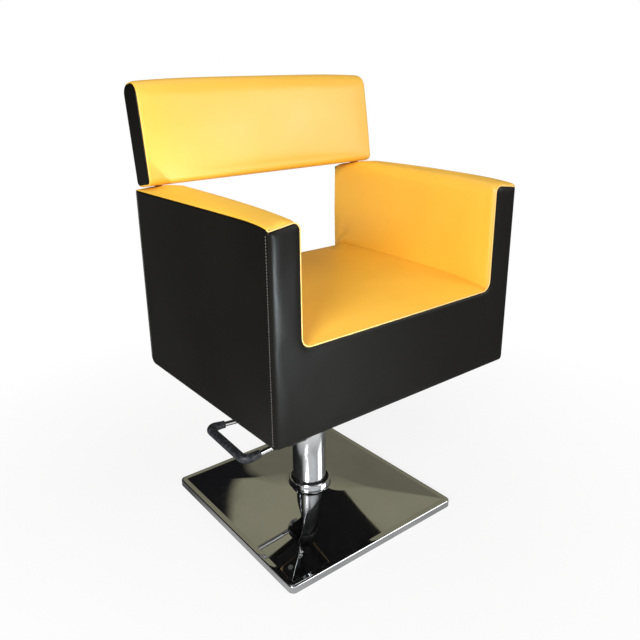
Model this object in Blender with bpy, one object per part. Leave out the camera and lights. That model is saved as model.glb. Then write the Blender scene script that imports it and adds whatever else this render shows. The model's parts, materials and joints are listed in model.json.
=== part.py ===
"""Salon styling chair on a hydraulic pump, in metres, +Z up.

The origin lies on the swivel axis at the floor. The sitter faces -Y and the pump pedal points to -X.
"""
from math import atan2, cos, exp, pi, radians, sin, tan

import bmesh
import bpy
from mathutils import Matrix, Vector

# Clearances
GAP = 0.0003            # between pieces that touch
RUN = 0.0003            # radial clearance of turning and sliding fits

# Base
BASE_WIDTH = 0.483      # square base, edge to edge
BASE_CORNER = 0.013     # corner radius of the base in plan
RIM_LIFT = 0.0015       # rim of the shell above the floor
RIM_TOP = 0.024         # where the sloping faces start
RIM_ROLL = 0.008        # radius of the rolled top edge of the rim
SHELL_WALL = 0.002      # pressed sheet of the base shell
NECK_TOP = 0.0365       # top of the shell's flared neck
NECK_CLEAR = 0.001      # room between the neck and the socket
FLARE_WIDTH = 0.052     # reach of the flare outside the neck
FLARE_RISE = 0.005      # height of the flare
FLARE_CORNER = 0.016    # corner radius where the flare leaves the four faces
FLARE_STEPS = 6
PAD_HEIGHT = 0.004      # rubber floor pads
PAD_RADIUS = 0.016
PAD_INSET = 0.035       # pad centre from the edge of the base
PLATE_HEIGHT = 0.008    # steel plate inside the shell

# Swivel socket
COLLAR_RADIUS = 0.0518  # chrome collar ring, outside
COLLAR_WALL = 0.0015
COLLAR_TOP = 0.0505
COLLAR_LIP = 0.004      # flat top of the collar that caps the socket
SOCKET_WALL = 0.0032
SOCKET_FLOOR = 0.006
FLANGE_RADIUS = 0.080
SOCKET_BOLT_SPREAD = 0.0467   # socket bolts from the swivel axis, along X and along Y
THRUST_HEIGHT = 0.005
FOOT_FLANGE = 0.004
FOOT_PLUG = 0.008
BUSH_DROP = 0.005       # top of the swivel bush below the collar's top

# Pump
CASING_RADIUS = 0.0408  # chrome column
CASING_WALL = 0.0025
CYLINDER_RADIUS = 0.030
CYLINDER_WALL = 0.004
RAM_RADIUS = 0.0225
GUIDE_WALL = 0.0038     # guide bush round the ram
HEAD_RADIUS = 0.047
HEAD_RISE = 0.0033      # top of the pump head above its lugs
HEAD_DROP = 0.0212      # underside of the pump head below the pedal shaft
WIPER_WIDTH = 0.009
WIPER_HEIGHT = 0.003
PISTON_REST = 0.131     # underside of the piston with the chair raised as photographed
PISTON_HEIGHT = 0.016
SEAL_DEPTH = 0.003
SEAL_HEIGHT = 0.005

# Pedal
PEDAL_YAW = radians(-2.75)    # heading of the pedal about the column
PEDAL_SLOPE = radians(0.6)    # fall of the bar away from its pivot
PIVOT_OUT = 0.052             # pedal shaft from the swivel axis
PIVOT_HEIGHT = 0.2265
SHAFT_RADIUS = 0.008
BUSH_WALL = 0.003
LUG_INNER = 0.022             # clear half width between the head's two lugs
LUG_WIDTH = 0.012
LUG_RADIUS = 0.0155
POCKET_DROP = 0.019           # floor of the finger pocket below the pedal shaft
POCKET_BACK = 0.0335          # back of the finger pocket from the swivel axis
BLOCK_OUT = 0.084             # far side of the pump block from the swivel axis
BLOCK_DROP = 0.044            # underside of the pump block below the pedal shaft
BORE_FLOOR = 0.003            # metal left under the plunger's bore
HUB_SPREAD = 0.0620           # half distance between the two hubs
ARM_SPREAD = 0.0832           # half distance between the bar's two arms at the cross bar
BAR_RADIUS = 0.0058
BAR_REACH = 0.177             # cross bar from the pedal shaft
BEND_RADIUS = 0.0155
GRIP_REACH = 0.040            # how far the grip runs back along each arm from the cross bar
GRIP_RADIUS = 0.0104
GRIP_END_RADIUS = 0.0088
GRIP_TAPER = 0.030            # length over which the grip swells from its ends
GRIP_RIBS = 10
RIB_DEPTH = 0.0009
HUB_RADIUS = 0.0150
HUB_LENGTH = 0.022
BAR_SEAT = 0.0105             # inner end of the bar from the shaft's axis
FINGER_HUB_RADIUS = 0.0135
FINGER_HALF_WIDTH = 0.009
FINGER_LENGTH = 0.024
FINGER_DEPTH = 0.008          # working face of the finger below the shaft's axis
FINGER_HEIGHT = 0.012
PLUNGER_OUT = 0.017           # plunger from the pedal shaft
PLUNGER_RADIUS = 0.006
PLUNGER_LENGTH = 0.0240
SPRING_WIRE = 0.0011          # wire radius of the pedal's return spring
SPRING_TURNS = 3
SPRING_LEG = 0.010

# Seat shell
BODY_WIDTH = 0.620
BODY_FRONT = -0.301
BODY_REAR = 0.189
BODY_BOTTOM = 0.387
ARM_WIDTH = 0.065
ARM_FRONT_EDGE = 0.768        # top of the black sides at the front, where the arm pads begin
ARM_REAR_EDGE = 0.7845        # the same at the rear
ARM_RISE = 0.0075             # crest of the arm pads above the sides at the front
ARM_SWELL = 0.0110            # how much higher above the sides the crest comes to stand
ARM_FADE = 0.110              # length over which it gains most of that height
CREST_SHARE = 0.55            # crest from the outside, as a share of the arm's width
CREST_FALL = 0.003            # fall from the crest to the inner edge
SHOULDER = 0.45               # upright part of a pad's outer edge, as a share of the crest's rise
SHOULDER_ROUND = 0.42         # rounding above it, as a share of the crest's rise
SEAT_EDGE = 0.562             # height of the seat's front edge
SEAT_CROWN = 0.010            # rise of the middle of the seat above its edges
SEAT_RISE = 0.014             # rise of the seat's rear edge above its front edge
COVER = 0.004                 # vinyl and backing of the outer covers
COVER_EDGE = 0.0015           # rounding along the covers' outer edges
COVER_TURN = 0.010            # flat of the rear cover under the seat
CORNER_TOP_OUT = 0.006        # corner radii of the front outline
CORNER_TOP_IN = 0.016
CORNER_SEAT = 0.020
CORNER_BOTTOM = 0.010
CORNER_REAR = 0.017           # lower rear corner of the sides
PANEL_INSET = 0.004           # yellow edge above and inside the front panel
REAR_EDGE = 0.566             # top of the rear cover between the arms
FRAME_WIDTH = 0.025           # arm frames
FRAME_DROP = 0.010            # foam above the frames, up to the top of the sides
ARM_BULGE = 0.0025
PAD_DRAW = 0.001              # how far the vinyl draws in at both ends of an arm pad
BOARD_RAISE = 0.0045          # bottom board above the covers' lower edge
BOARD_HEIGHT = 0.012
RAIL_WIDTH = 0.025
RAIL_HEIGHT = 0.060
DECK_HEIGHT = 0.015
CUSHION_EDGE = 0.012
CUSHION_DRAW = 0.003
DUST_COVER = 0.002

# Seat plate
PLATE_WIDTH = 0.200
PLATE_DEPTH = 0.240
PLATE_CORNER = 0.015
PLATE_THICK = 0.006
PLATE_MARGIN = 0.006          # dust cover's opening round the plate
HUB_BOTTOM = 0.352            # lower end of the plate's ram hub
RAM_HUB_RADIUS = 0.033
BOLT_INSET = 0.022            # bolts from the plate's edges
BOLT_RADIUS = 0.004
BOLT_HEAD_RADIUS = 0.0075
BOLT_HEAD = 0.005
BOLT_GRIP = 0.008             # how far the seat bolts go into the board
SOCKET_BOLT_GRIP = 0.005      # how far the socket bolts go into the base plate

# Back bar
BACK_LEAN = radians(8.4)
BACK_FRONT = 0.1106           # front lower edge of the bar
BACK_RAISE = 0.0159           # that edge above the rear end of the sides
BACK_CLEAR = 0.0006           # room between the arm pads and the bar
BACK_HEIGHT = 0.2105
BACK_THICK = 0.0674
BACK_CROWN = 0.005            # rise of the middle of the top edge
BACK_BULGE = 0.004            # crown of the front face in the middle
BACK_END_BULGE = 0.001        # crown of the front face at the ends
BACK_TOP_FRONT = 0.030        # corner radii of the bar's section
BACK_TOP_REAR = 0.022
BACK_LOW = 0.012
BACK_BOARD = 0.024
BACK_MARGIN = 0.022           # foam above and below the board
BRACKET_THICK = 0.008
BRACKET_WIDTH = 0.022
BRACKET_FOOT = 0.640          # lower end of the brackets
BRACKET_REACH = 0.130         # length of the brackets inside the bar

# Facets
TURN_STEPS = 32
FINE_STEPS = 56
BOLT_STEPS = 12
PAD_STEPS = 24
ROD_STEPS = 14
SPRING_STEPS = 8
ARC_STEPS = 4
CORNER_STEPS = 9
CUSHION_CUTS = 11
LOFT_STEPS = 9
BEND_STEPS = 8
WELD = 0.00002
OVERSHOOT = 0.002             # how far cutting tools pass the faces they open

# Values that follow from the sizes above
PLATE_TOP = PAD_HEIGHT + GAP + PLATE_HEIGHT
SOCKET_OUTER = COLLAR_RADIUS - COLLAR_WALL - GAP
SOCKET_INNER = SOCKET_OUTER - SOCKET_WALL
SOCKET_BOTTOM = PLATE_TOP + GAP
FLANGE_TOP = SOCKET_BOTTOM + SOCKET_FLOOR
SOCKET_TOP = COLLAR_TOP - COLLAR_LIP - GAP
THRUST_BOTTOM = FLANGE_TOP + GAP
FOOT_BOTTOM = THRUST_BOTTOM + THRUST_HEIGHT + GAP
CASING_BOTTOM = FOOT_BOTTOM + FOOT_FLANGE + GAP
CYLINDER_BOTTOM = CASING_BOTTOM - GAP + FOOT_PLUG + GAP
CASING_INNER = CASING_RADIUS - CASING_WALL
CYLINDER_BORE = CYLINDER_RADIUS - CYLINDER_WALL
LUG_TOP = PIVOT_HEIGHT + LUG_RADIUS
HEAD_TOP = LUG_TOP + HEAD_RISE
HEAD_BOTTOM = PIVOT_HEIGHT - HEAD_DROP
CASING_TOP = HEAD_BOTTOM - GAP
POCKET_FLOOR = PIVOT_HEIGHT - POCKET_DROP
BLOCK_BOTTOM = PIVOT_HEIGHT - BLOCK_DROP
GUIDE_RADIUS = RAM_RADIUS + RUN + GUIDE_WALL
LUG_OUTER = LUG_INNER + LUG_WIDTH
BUSH_RADIUS = SHAFT_RADIUS + RUN + BUSH_WALL
SIDE = BODY_WIDTH / 2
COVER_FRONT = BODY_FRONT + COVER
COVER_REAR = BODY_REAR - COVER
PAD_FRONT = COVER_FRONT + GAP
PAD_REAR = COVER_REAR - GAP
ARM_INNER = SIDE - ARM_WIDTH
FRAME_OUTER = SIDE - COVER - GAP
FRAME_INNER = FRAME_OUTER - FRAME_WIDTH
PAD_OUTER = FRAME_INNER - GAP
BOARD_BOTTOM = BODY_BOTTOM + BOARD_RAISE
BOARD_TOP = BOARD_BOTTOM + BOARD_HEIGHT
RAIL_BOTTOM = BOARD_TOP + GAP
RAIL_TOP = RAIL_BOTTOM + RAIL_HEIGHT
DECK_BOTTOM = RAIL_TOP + GAP
DECK_TOP = DECK_BOTTOM + DECK_HEIGHT
FOAM_BOTTOM = DECK_TOP + GAP
PLATE_BOTTOM = BOARD_BOTTOM - GAP - PLATE_THICK
CORNERS = (("front_left", -1, -1), ("front_right", 1, -1), ("rear_right", 1, 1), ("rear_left", -1, 1))
BACK_BOTTOM = ARM_REAR_EDGE + BACK_RAISE
BRACKET_OUTER = PAD_OUTER
BRACKET_INNER = BRACKET_OUTER - BRACKET_THICK
BACK_BOARD_SIDE = BRACKET_INNER - GAP


# Materials
def material(name, colour, roughness, metallic=0.0):
    shader = bpy.data.materials.new(name)
    shader.use_nodes = True
    inputs = shader.node_tree.nodes["Principled BSDF"].inputs
    inputs["Base Color"].default_value = (*colour, 1.0)
    inputs["Roughness"].default_value = roughness
    inputs["Metallic"].default_value = metallic
    shader.diffuse_color = (*colour, 1.0)
    return shader


# Shapes
def finish(name, mesh, shader, parent=None, crease=radians(35)):
    """Turn a bmesh into a named object with outward faces and sharp creases."""
    bmesh.ops.recalc_face_normals(mesh, faces=mesh.faces)
    data = bpy.data.meshes.new(name)
    mesh.to_mesh(data)
    mesh.free()
    data.shade_smooth()
    data.set_sharp_from_angle(angle=crease)
    data.materials.append(shader)
    return link(bpy.data.objects.new(name, data), parent)


def link(shape, parent=None):
    bpy.context.scene.collection.objects.link(shape)
    shape.parent = parent
    return shape


def local_frame(name, location, rotation, parent=None):
    """An empty that carries the pieces of one local frame."""
    empty = bpy.data.objects.new(name, None)
    empty.location = location
    empty.rotation_euler = rotation
    return link(empty, parent)


def filleted(corners, steps=ARC_STEPS):
    """Outline through (a, b, radius) corners, each rounded to its radius or sharp where that is 0."""
    outline = []
    for index, (a, b, radius) in enumerate(corners):
        here = Vector((a, b))
        if radius == 0:
            outline.append(here)
            continue
        before = (Vector(corners[index - 1][:2]) - here).normalized()
        after = (Vector(corners[(index + 1) % len(corners)][:2]) - here).normalized()
        half = before.angle(after) / 2
        centre = here + (before + after).normalized() * radius / sin(half)
        for step in range(steps + 1):
            share = step / steps
            spoke = (before * (1 - share) + after * share) * radius / tan(half) + here - centre
            outline.append(centre + spoke.normalized() * radius)
    return outline


def oriented(plane, a, b, depth):
    """Point of an outline: XY outlines rise in Z, XZ outlines run in Y and YZ outlines in X."""
    return {"XY": (a, b, depth), "XZ": (a, depth, b), "YZ": (depth, a, b)}[plane]


def extruded(name, outline, plane, low, high, shader, parent=None):
    """Prism of an outline between two depths."""
    mesh = bmesh.new()
    face = mesh.faces.new([mesh.verts.new(oriented(plane, a, b, low)) for a, b in outline])
    moved = bmesh.ops.extrude_face_region(mesh, geom=[face])["geom"]
    shift = Vector(oriented(plane, 0, 0, high - low))
    bmesh.ops.translate(mesh, vec=shift, verts=[v for v in moved if isinstance(v, bmesh.types.BMVert)])
    return finish(name, mesh, shader, parent)


def block(name, low, high, shader, parent=None):
    """Square-edged block between two corners."""
    outline = [(low[0], low[1]), (high[0], low[1]), (high[0], high[1]), (low[0], high[1])]
    return extruded(name, outline, "XY", low[2], high[2], shader, parent)


def turned(name, section, shader, steps=TURN_STEPS, parent=None, places=(Matrix.Identity(4),)):
    """Spin a half section of (radius, height) points about the Z axis of each place."""
    mesh = bmesh.new()
    for where in places:
        points = [mesh.verts.new(where @ Vector((radius, 0, height))) for radius, height in section]
        edges = []
        for index, (radius, _) in enumerate(section):
            follow = (index + 1) % len(section)
            if max(radius, section[follow][0]) > 0:
                edges.append(mesh.edges.new((points[index], points[follow])))
        axis = where.to_3x3() @ Vector((0, 0, 1))
        bmesh.ops.spin(mesh, geom=points + edges, cent=where.translation, axis=axis,
                       angle=2 * pi, steps=steps, use_merge=True)
    bmesh.ops.remove_doubles(mesh, verts=mesh.verts, dist=WELD)
    return finish(name, mesh, shader, parent)


def ring_surface(rings):
    """Open surface through rings of equal point counts."""
    mesh = bmesh.new()
    loops = [[mesh.verts.new(point) for point in ring] for ring in rings]
    for first, second in zip(loops, loops[1:]):
        for index in range(len(first)):
            follow = (index + 1) % len(first)
            mesh.faces.new((first[index], first[follow], second[follow], second[index]))
    return mesh, loops


def lofted(name, rings, shader, parent=None):
    """Closed body through rings, capped at both ends."""
    mesh, loops = ring_surface(rings)
    mesh.faces.new(loops[0])
    mesh.faces.new(loops[-1])
    return finish(name, mesh, shader, parent)


def stations(route):
    """Centre and two cross directions at each point of a route, square to it or halving its bends."""
    points = [Vector(point) for point in route]
    steps = [(after - here).normalized() for here, after in zip(points, points[1:])]
    headings = [steps[0]]
    headings += [(first + second).normalized() for first, second in zip(steps, steps[1:])]
    headings.append(steps[-1])
    normal = headings[0].orthogonal().normalized()
    made = []
    for centre, ahead in zip(points, headings):
        normal = (normal - ahead * normal.dot(ahead)).normalized()
        made.append((centre, normal, ahead.cross(normal)))
    return made


def rod(name, route, radius, shader, parent=None, steps=ROD_STEPS):
    """Round bar along a route of points."""
    turns = [2 * pi * step / steps for step in range(steps)]
    rings = []
    for centre, normal, side in stations(route):
        rings.append([centre + (normal * cos(turn) + side * sin(turn)) * radius for turn in turns])
    return lofted(name, rings, shader, parent)


def combine(shape, tool, operation):
    """Cut a tool out of a shape, or join it on, and keep the tool as a hidden guide."""
    change = shape.modifiers.new(tool.name, "BOOLEAN")
    change.operation = operation
    change.object = tool
    tool.hide_render = True
    tool.display_type = "WIRE"
    return shape


def cut(shape, *tools):
    for tool in tools:
        combine(shape, tool, "DIFFERENCE")
    return shape


def join(shape, *tools):
    for tool in tools:
        combine(shape, tool, "UNION")
    return shape


def rounded(shape, width, segments=2, angle=radians(50)):
    """Round every edge that is sharper than the angle."""
    bevel = shape.modifiers.new("rounding", "BEVEL")
    bevel.width = width
    bevel.segments = segments
    bevel.limit_method = "ANGLE"
    bevel.angle_limit = angle
    return shape


def solid(radius, bottom, top):
    return [(0, top), (radius, top), (radius, bottom), (0, bottom)]


def tube(outer, inner, bottom, top):
    return [(inner, top), (outer, top), (outer, bottom), (inner, bottom)]


def stud(radius, head_radius, head, length):
    """Bolt or screw section: its head from -head to 0, its shank up to its length."""
    return [(0, length), (radius, length), (radius, 0), (head_radius, 0), (head_radius, -head), (0, -head)]


def four_studs(name, section, spread_x, spread_y, lift, shader):
    """Four studs at the corners of a rectangle, and the tool that cuts the holes for their shanks."""
    _, (radius, length), *_ = section
    places = []
    for corner, a, b in CORNERS:
        where = Matrix.Translation((spread_x * a, spread_y * b, 0)) @ lift
        turned("%s_%s" % (name, corner), section, shader, BOLT_STEPS, places=(where,))
        places.append(where)
    return turned(name + "_holes", solid(radius + GAP, -GAP, length + GAP), shader, BOLT_STEPS, places=places)


def round_rectangle(half_x, half_y, corner):
    return filleted([(half_x * a, half_y * b, corner) for _, a, b in CORNERS])


def smooth(share):
    share = min(1.0, max(0.0, share))
    return share * share * (3 - 2 * share)


def arm_edge(y):
    """Top of the black sides, which fall towards the front."""
    share = (y - BODY_FRONT) / (BODY_REAR - BODY_FRONT)
    return ARM_FRONT_EDGE + (ARM_REAR_EDGE - ARM_FRONT_EDGE) * share


def arm_crest(y):
    """Crest of the arm pads, which stay clear of the back bar's underside."""
    crest = arm_edge(y) + ARM_RISE + ARM_SWELL * (1 - exp((BODY_FRONT - y) / ARM_FADE))
    return min(crest, BACK_BOTTOM - BACK_CLEAR - max(0.0, y - BACK_FRONT) * tan(BACK_LEAN))


# Base
def square_ring(half, corner, height):
    """Square with round corners at one height, a circle where the corner equals the half width."""
    ring = []
    for quarter in range(4):
        heading = quarter * pi / 2
        centre = Matrix.Rotation(heading, 2) @ Vector((half - corner, half - corner))
        for step in range(CORNER_STEPS + 1):
            angle = heading + step / CORNER_STEPS * pi / 2
            ring.append((centre.x + corner * cos(angle), centre.y + corner * sin(angle), height))
    return ring


def make_base(chrome, steel, rubber, nylon):
    half = BASE_WIDTH / 2
    roll_bottom = RIM_TOP - RIM_ROLL
    rings = [square_ring(half, BASE_CORNER, RIM_LIFT), square_ring(half, BASE_CORNER, roll_bottom)]
    for step in range(1, ARC_STEPS + 1):
        angle = step / ARC_STEPS * pi / 2
        inset = RIM_ROLL * (1 - cos(angle))
        rings.append(square_ring(half - inset, BASE_CORNER - inset, roll_bottom + RIM_ROLL * sin(angle)))
    neck = SOCKET_OUTER + NECK_CLEAR
    for step in range(FLARE_STEPS + 1):
        share = step / FLARE_STEPS
        width = neck + FLARE_WIDTH * (1 - share)
        corner = FLARE_CORNER + (width - FLARE_CORNER) * smooth(share)
        rings.append(square_ring(width, corner, NECK_TOP - FLARE_RISE * (1 - share * share)))
    mesh, _ = ring_surface(rings)
    shell = finish("base_shell", mesh, chrome)
    wall = shell.modifiers.new("sheet", "SOLIDIFY")
    wall.thickness = SHELL_WALL
    wall.offset = -1
    wall.use_even_offset = True

    plate_half = half - SHELL_WALL - GAP
    outline = round_rectangle(plate_half, plate_half, BASE_CORNER - SHELL_WALL)
    plate = extruded("base_plate", outline, "XY", PAD_HEIGHT + GAP, PLATE_TOP, steel)

    pad = solid(PAD_RADIUS, 0, PAD_HEIGHT)
    reach = half - PAD_INSET
    turned("floor_pad_middle", pad, rubber, PAD_STEPS)
    for corner, a, b in CORNERS:
        where = Matrix.Translation((reach * a, reach * b, 0))
        turned("floor_pad_" + corner, pad, rubber, PAD_STEPS, places=(where,))

    section = [(0, FLANGE_TOP), (SOCKET_INNER, FLANGE_TOP), (SOCKET_INNER, SOCKET_TOP),
               (SOCKET_OUTER, SOCKET_TOP), (SOCKET_OUTER, FLANGE_TOP), (FLANGE_RADIUS, FLANGE_TOP),
               (FLANGE_RADIUS, SOCKET_BOTTOM), (0, SOCKET_BOTTOM)]
    socket = turned("swivel_socket", section, steel)

    bolt = stud(BOLT_RADIUS, BOLT_HEAD_RADIUS, BOLT_HEAD, SOCKET_FLOOR + GAP + SOCKET_BOLT_GRIP)
    down = Matrix.Translation((0, 0, FLANGE_TOP + GAP)) @ Matrix.Rotation(pi, 4, "X")
    holes = four_studs("socket_bolt", bolt, SOCKET_BOLT_SPREAD, SOCKET_BOLT_SPREAD, down, steel)
    cut(socket, holes)
    cut(plate, holes)

    turned("thrust_bearing", solid(SOCKET_INNER - GAP, THRUST_BOTTOM, THRUST_BOTTOM + THRUST_HEIGHT), nylon)
    bush = tube(SOCKET_INNER - GAP, CASING_RADIUS + RUN, CASING_BOTTOM, COLLAR_TOP - BUSH_DROP)
    turned("swivel_bush", bush, nylon, FINE_STEPS)
    lip = SOCKET_INNER
    wall_inner = COLLAR_RADIUS - COLLAR_WALL
    section = [(lip, COLLAR_TOP), (COLLAR_RADIUS - COLLAR_WALL, COLLAR_TOP),
               (COLLAR_RADIUS, COLLAR_TOP - COLLAR_WALL), (COLLAR_RADIUS, NECK_TOP + GAP),
               (wall_inner, NECK_TOP + GAP), (wall_inner, COLLAR_TOP - COLLAR_LIP),
               (lip, COLLAR_TOP - COLLAR_LIP)]
    turned("collar_ring", section, chrome, FINE_STEPS)


# Pump
def make_pump(chrome, steel, nylon, rubber, heading):
    section = [(0, CYLINDER_BOTTOM - GAP), (CASING_INNER - GAP, CYLINDER_BOTTOM - GAP),
               (CASING_INNER - GAP, CASING_BOTTOM - GAP), (SOCKET_INNER - RUN, CASING_BOTTOM - GAP),
               (SOCKET_INNER - RUN, FOOT_BOTTOM), (0, FOOT_BOTTOM)]
    turned("pump_foot", section, steel)
    turned("pump_casing", tube(CASING_RADIUS, CASING_INNER, CASING_BOTTOM, CASING_TOP), chrome, FINE_STEPS)
    turned("pump_cylinder", tube(CYLINDER_RADIUS, CYLINDER_BORE, CYLINDER_BOTTOM, CASING_TOP), steel)

    head = turned("pump_head", tube(HEAD_RADIUS, GUIDE_RADIUS + GAP, HEAD_BOTTOM, HEAD_TOP), steel,
                  parent=heading)
    pump_block = block("head_block", (-BLOCK_OUT, -LUG_OUTER, BLOCK_BOTTOM),
                       (-GUIDE_RADIUS - OVERSHOOT, LUG_OUTER, POCKET_FLOOR), steel, heading)
    room = solid(CASING_RADIUS + GAP, BLOCK_BOTTOM - OVERSHOOT, HEAD_BOTTOM)
    cut(pump_block, turned("head_casing_room", room, steel, FINE_STEPS, heading))
    corners = [(-PIVOT_OUT - LUG_RADIUS, POCKET_FLOOR - OVERSHOOT, 0),
               (-POCKET_BACK, POCKET_FLOOR - OVERSHOOT, 0),
               (-POCKET_BACK, LUG_TOP, 0),
               (-PIVOT_OUT - LUG_RADIUS, LUG_TOP, LUG_RADIUS)]
    lugs = extruded("head_lugs", filleted(corners, BEND_STEPS), "XZ", -LUG_OUTER, LUG_OUTER, steel, heading)
    pocket = block("finger_pocket", (-BLOCK_OUT - OVERSHOOT, -LUG_INNER, POCKET_FLOOR),
                   (-POCKET_BACK, LUG_INNER, HEAD_TOP + OVERSHOOT), steel, heading)
    plunger_place = Matrix.Translation((-PIVOT_OUT - PLUNGER_OUT, 0, 0))
    room = solid(PLUNGER_RADIUS + RUN, BLOCK_BOTTOM + BORE_FLOOR, POCKET_FLOOR + OVERSHOOT)
    bore = turned("plunger_bore", room, steel, TURN_STEPS, heading, (plunger_place,))
    along_y = Matrix.Rotation(-pi / 2, 4, "X")
    pivot = Matrix.Translation((-PIVOT_OUT, 0, PIVOT_HEIGHT)) @ along_y
    reach = LUG_OUTER + OVERSHOOT
    room = solid(BUSH_RADIUS + GAP, -reach, reach)
    shaft_bore = turned("shaft_bore", room, steel, TURN_STEPS, heading, (pivot,))
    join(head, pump_block, lugs)
    cut(head, pocket, bore, shaft_bore)

    turned("guide_bush", tube(GUIDE_RADIUS, RAM_RADIUS + RUN, HEAD_BOTTOM, HEAD_TOP), nylon)
    wiper_bottom = HEAD_TOP + GAP
    inner = RAM_RADIUS + RUN
    section = [(inner, wiper_bottom + WIPER_HEIGHT), (inner + WIPER_WIDTH / 2, wiper_bottom + WIPER_HEIGHT),
               (inner + WIPER_WIDTH, wiper_bottom), (inner, wiper_bottom)]
    turned("wiper_seal", section, rubber)
    bush = tube(BUSH_RADIUS, SHAFT_RADIUS + RUN, -LUG_WIDTH / 2, LUG_WIDTH / 2)
    for name, side in (("front_shaft_bush", -1), ("rear_shaft_bush", 1)):
        where = pivot @ Matrix.Translation((0, 0, side * (LUG_INNER + LUG_WIDTH / 2)))
        turned(name, bush, nylon, TURN_STEPS, heading, (where,))
    make_pedal_spring(steel, heading)


def make_pedal_spring(steel, heading):
    """Torsion spring round the pedal shaft, with one leg down to the pocket's floor and one up."""
    coil = SHAFT_RADIUS + RUN + SPRING_WIRE
    pitch = 2 * SPRING_WIRE + 2 * GAP
    start = FINGER_HALF_WIDTH + SPRING_WIRE + 2 * GAP
    steps = 12 * SPRING_TURNS
    route = []
    for step in range(steps + 1):
        angle = 2 * pi * SPRING_TURNS * step / steps
        y = start + pitch * SPRING_TURNS * step / steps
        route.append((-PIVOT_OUT + coil * cos(angle), y, PIVOT_HEIGHT + coil * sin(angle)))
    first = route[0]
    last = route[-1]
    route.insert(0, (first[0], first[1], POCKET_FLOOR + GAP))
    route.append((last[0], last[1], last[2] + SPRING_LEG))
    closest = min((Vector(a) - Vector(b)).length - 2 * SPRING_WIRE
                  for i, a in enumerate(route) for b in route[i + 10:])
    print("pedal_spring: least gap to itself %.2f mm" % (closest * 1000))
    rod("pedal_spring", route, SPRING_WIRE, steel, heading, SPRING_STEPS)


# Pedal
def make_pedal(chrome, steel, rubber, heading):
    pivot = local_frame("pedal_pivot", (-PIVOT_OUT, 0, PIVOT_HEIGHT), (0, -PEDAL_SLOPE, 0), heading)
    along_y = Matrix.Rotation(-pi / 2, 4, "X")
    hub_outer = HUB_SPREAD + HUB_LENGTH / 2
    turned("pedal_shaft", solid(SHAFT_RADIUS, -hub_outer, hub_outer), steel, TURN_STEPS, pivot, (along_y,))

    half = HUB_LENGTH / 2
    edge = BAR_RADIUS / 4
    section = [(SHAFT_RADIUS + GAP, half), (HUB_RADIUS - edge, half), (HUB_RADIUS, half - edge),
               (HUB_RADIUS, edge - half), (HUB_RADIUS - edge, -half), (SHAFT_RADIUS + GAP, -half)]
    outward = Matrix.Rotation(-pi / 2, 4, "Y")
    splay = atan2(ARM_SPREAD - HUB_SPREAD, BAR_REACH)
    room = solid(BAR_RADIUS + GAP, BAR_SEAT / cos(splay) - GAP, HUB_RADIUS + OVERSHOOT)
    for name, side in (("front_pedal_hub", -1), ("rear_pedal_hub", 1)):
        where = Matrix.Translation((0, side * HUB_SPREAD, 0))
        hub = turned(name, section, chrome, TURN_STEPS, pivot, (where @ along_y,))
        along_arm = where @ Matrix.Rotation(-side * splay, 4, "Z") @ outward
        cut(hub, turned(name + "_bar_seat", room, steel, TURN_STEPS, pivot, (along_arm,)))

    rod("pedal_bar", bar_route(BAR_SEAT), BAR_RADIUS, chrome, pivot)
    make_grip(rubber, pivot)

    level = local_frame("finger_pivot", (-PIVOT_OUT, 0, PIVOT_HEIGHT), (0, 0, 0), heading)
    ring = tube(FINGER_HUB_RADIUS, SHAFT_RADIUS + GAP, -FINGER_HALF_WIDTH, FINGER_HALF_WIDTH)
    finger = turned("pedal_finger", ring, steel, TURN_STEPS, level, (along_y,))
    side = FINGER_HALF_WIDTH - GAP
    root = SHAFT_RADIUS + BUSH_WALL
    join(finger, block("finger_arm", (-FINGER_LENGTH, -side, -FINGER_DEPTH),
                       (-root, side, FINGER_HEIGHT - FINGER_DEPTH), steel, level))


def bar_route(start):
    """Centre line of the bar: out along one splayed arm, across, and back along the other."""
    half = HUB_SPREAD + (ARM_SPREAD - HUB_SPREAD) * start / BAR_REACH
    corners = [(-start, -half, 0), (-BAR_REACH, -ARM_SPREAD, BEND_RADIUS),
               (-BAR_REACH, ARM_SPREAD, BEND_RADIUS), (-start, half, 0)]
    return [(x, y, 0) for x, y in filleted(corners, BEND_STEPS)]


def make_grip(rubber, pivot):
    """Ribbed rubber sleeve over the cross bar and the bends, thicker along the cross bar."""
    route = [Vector(point) for point in bar_route(BAR_REACH - GRIP_REACH)]
    lengths = [0.0]
    for here, after in zip(route, route[1:]):
        lengths.append(lengths[-1] + (after - here).length)
    outer = []
    inner = []
    for (centre, normal, side), length in zip(stations(route), lengths):
        from_end = min(length, lengths[-1] - length)
        radius = GRIP_END_RADIUS + (GRIP_RADIUS - GRIP_END_RADIUS) * smooth(from_end / GRIP_TAPER)
        ring = []
        bore = []
        for step in range(2 * GRIP_RIBS):
            angle = pi * step / GRIP_RIBS
            spoke = normal * cos(angle) + side * sin(angle)
            ring.append(centre + spoke * (radius - RIB_DEPTH * (step % 2)))
            bore.append(centre + spoke * (BAR_RADIUS + GAP))
        outer.append(ring)
        inner.append(bore)
    mesh, _ = ring_surface(outer + inner[::-1] + outer[:1])
    bmesh.ops.remove_doubles(mesh, verts=mesh.verts, dist=WELD)
    finish("pedal_grip", mesh, rubber, pivot)


def make_plunger(steel, heading):
    """Pump plunger with a round tip that the pedal's finger presses down."""
    where = Matrix.Translation((-PIVOT_OUT - PLUNGER_OUT, 0, 0))
    tip = PIVOT_HEIGHT - FINGER_DEPTH - GAP
    section = []
    for step in range(ARC_STEPS + 1):
        angle = step / ARC_STEPS * pi / 2
        section.append((PLUNGER_RADIUS * sin(angle), tip - PLUNGER_RADIUS * (1 - cos(angle))))
    section += [(PLUNGER_RADIUS, tip - PLUNGER_LENGTH), (0, tip - PLUNGER_LENGTH)]
    turned("pump_plunger", section, steel, TURN_STEPS, heading, (where,))


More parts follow.
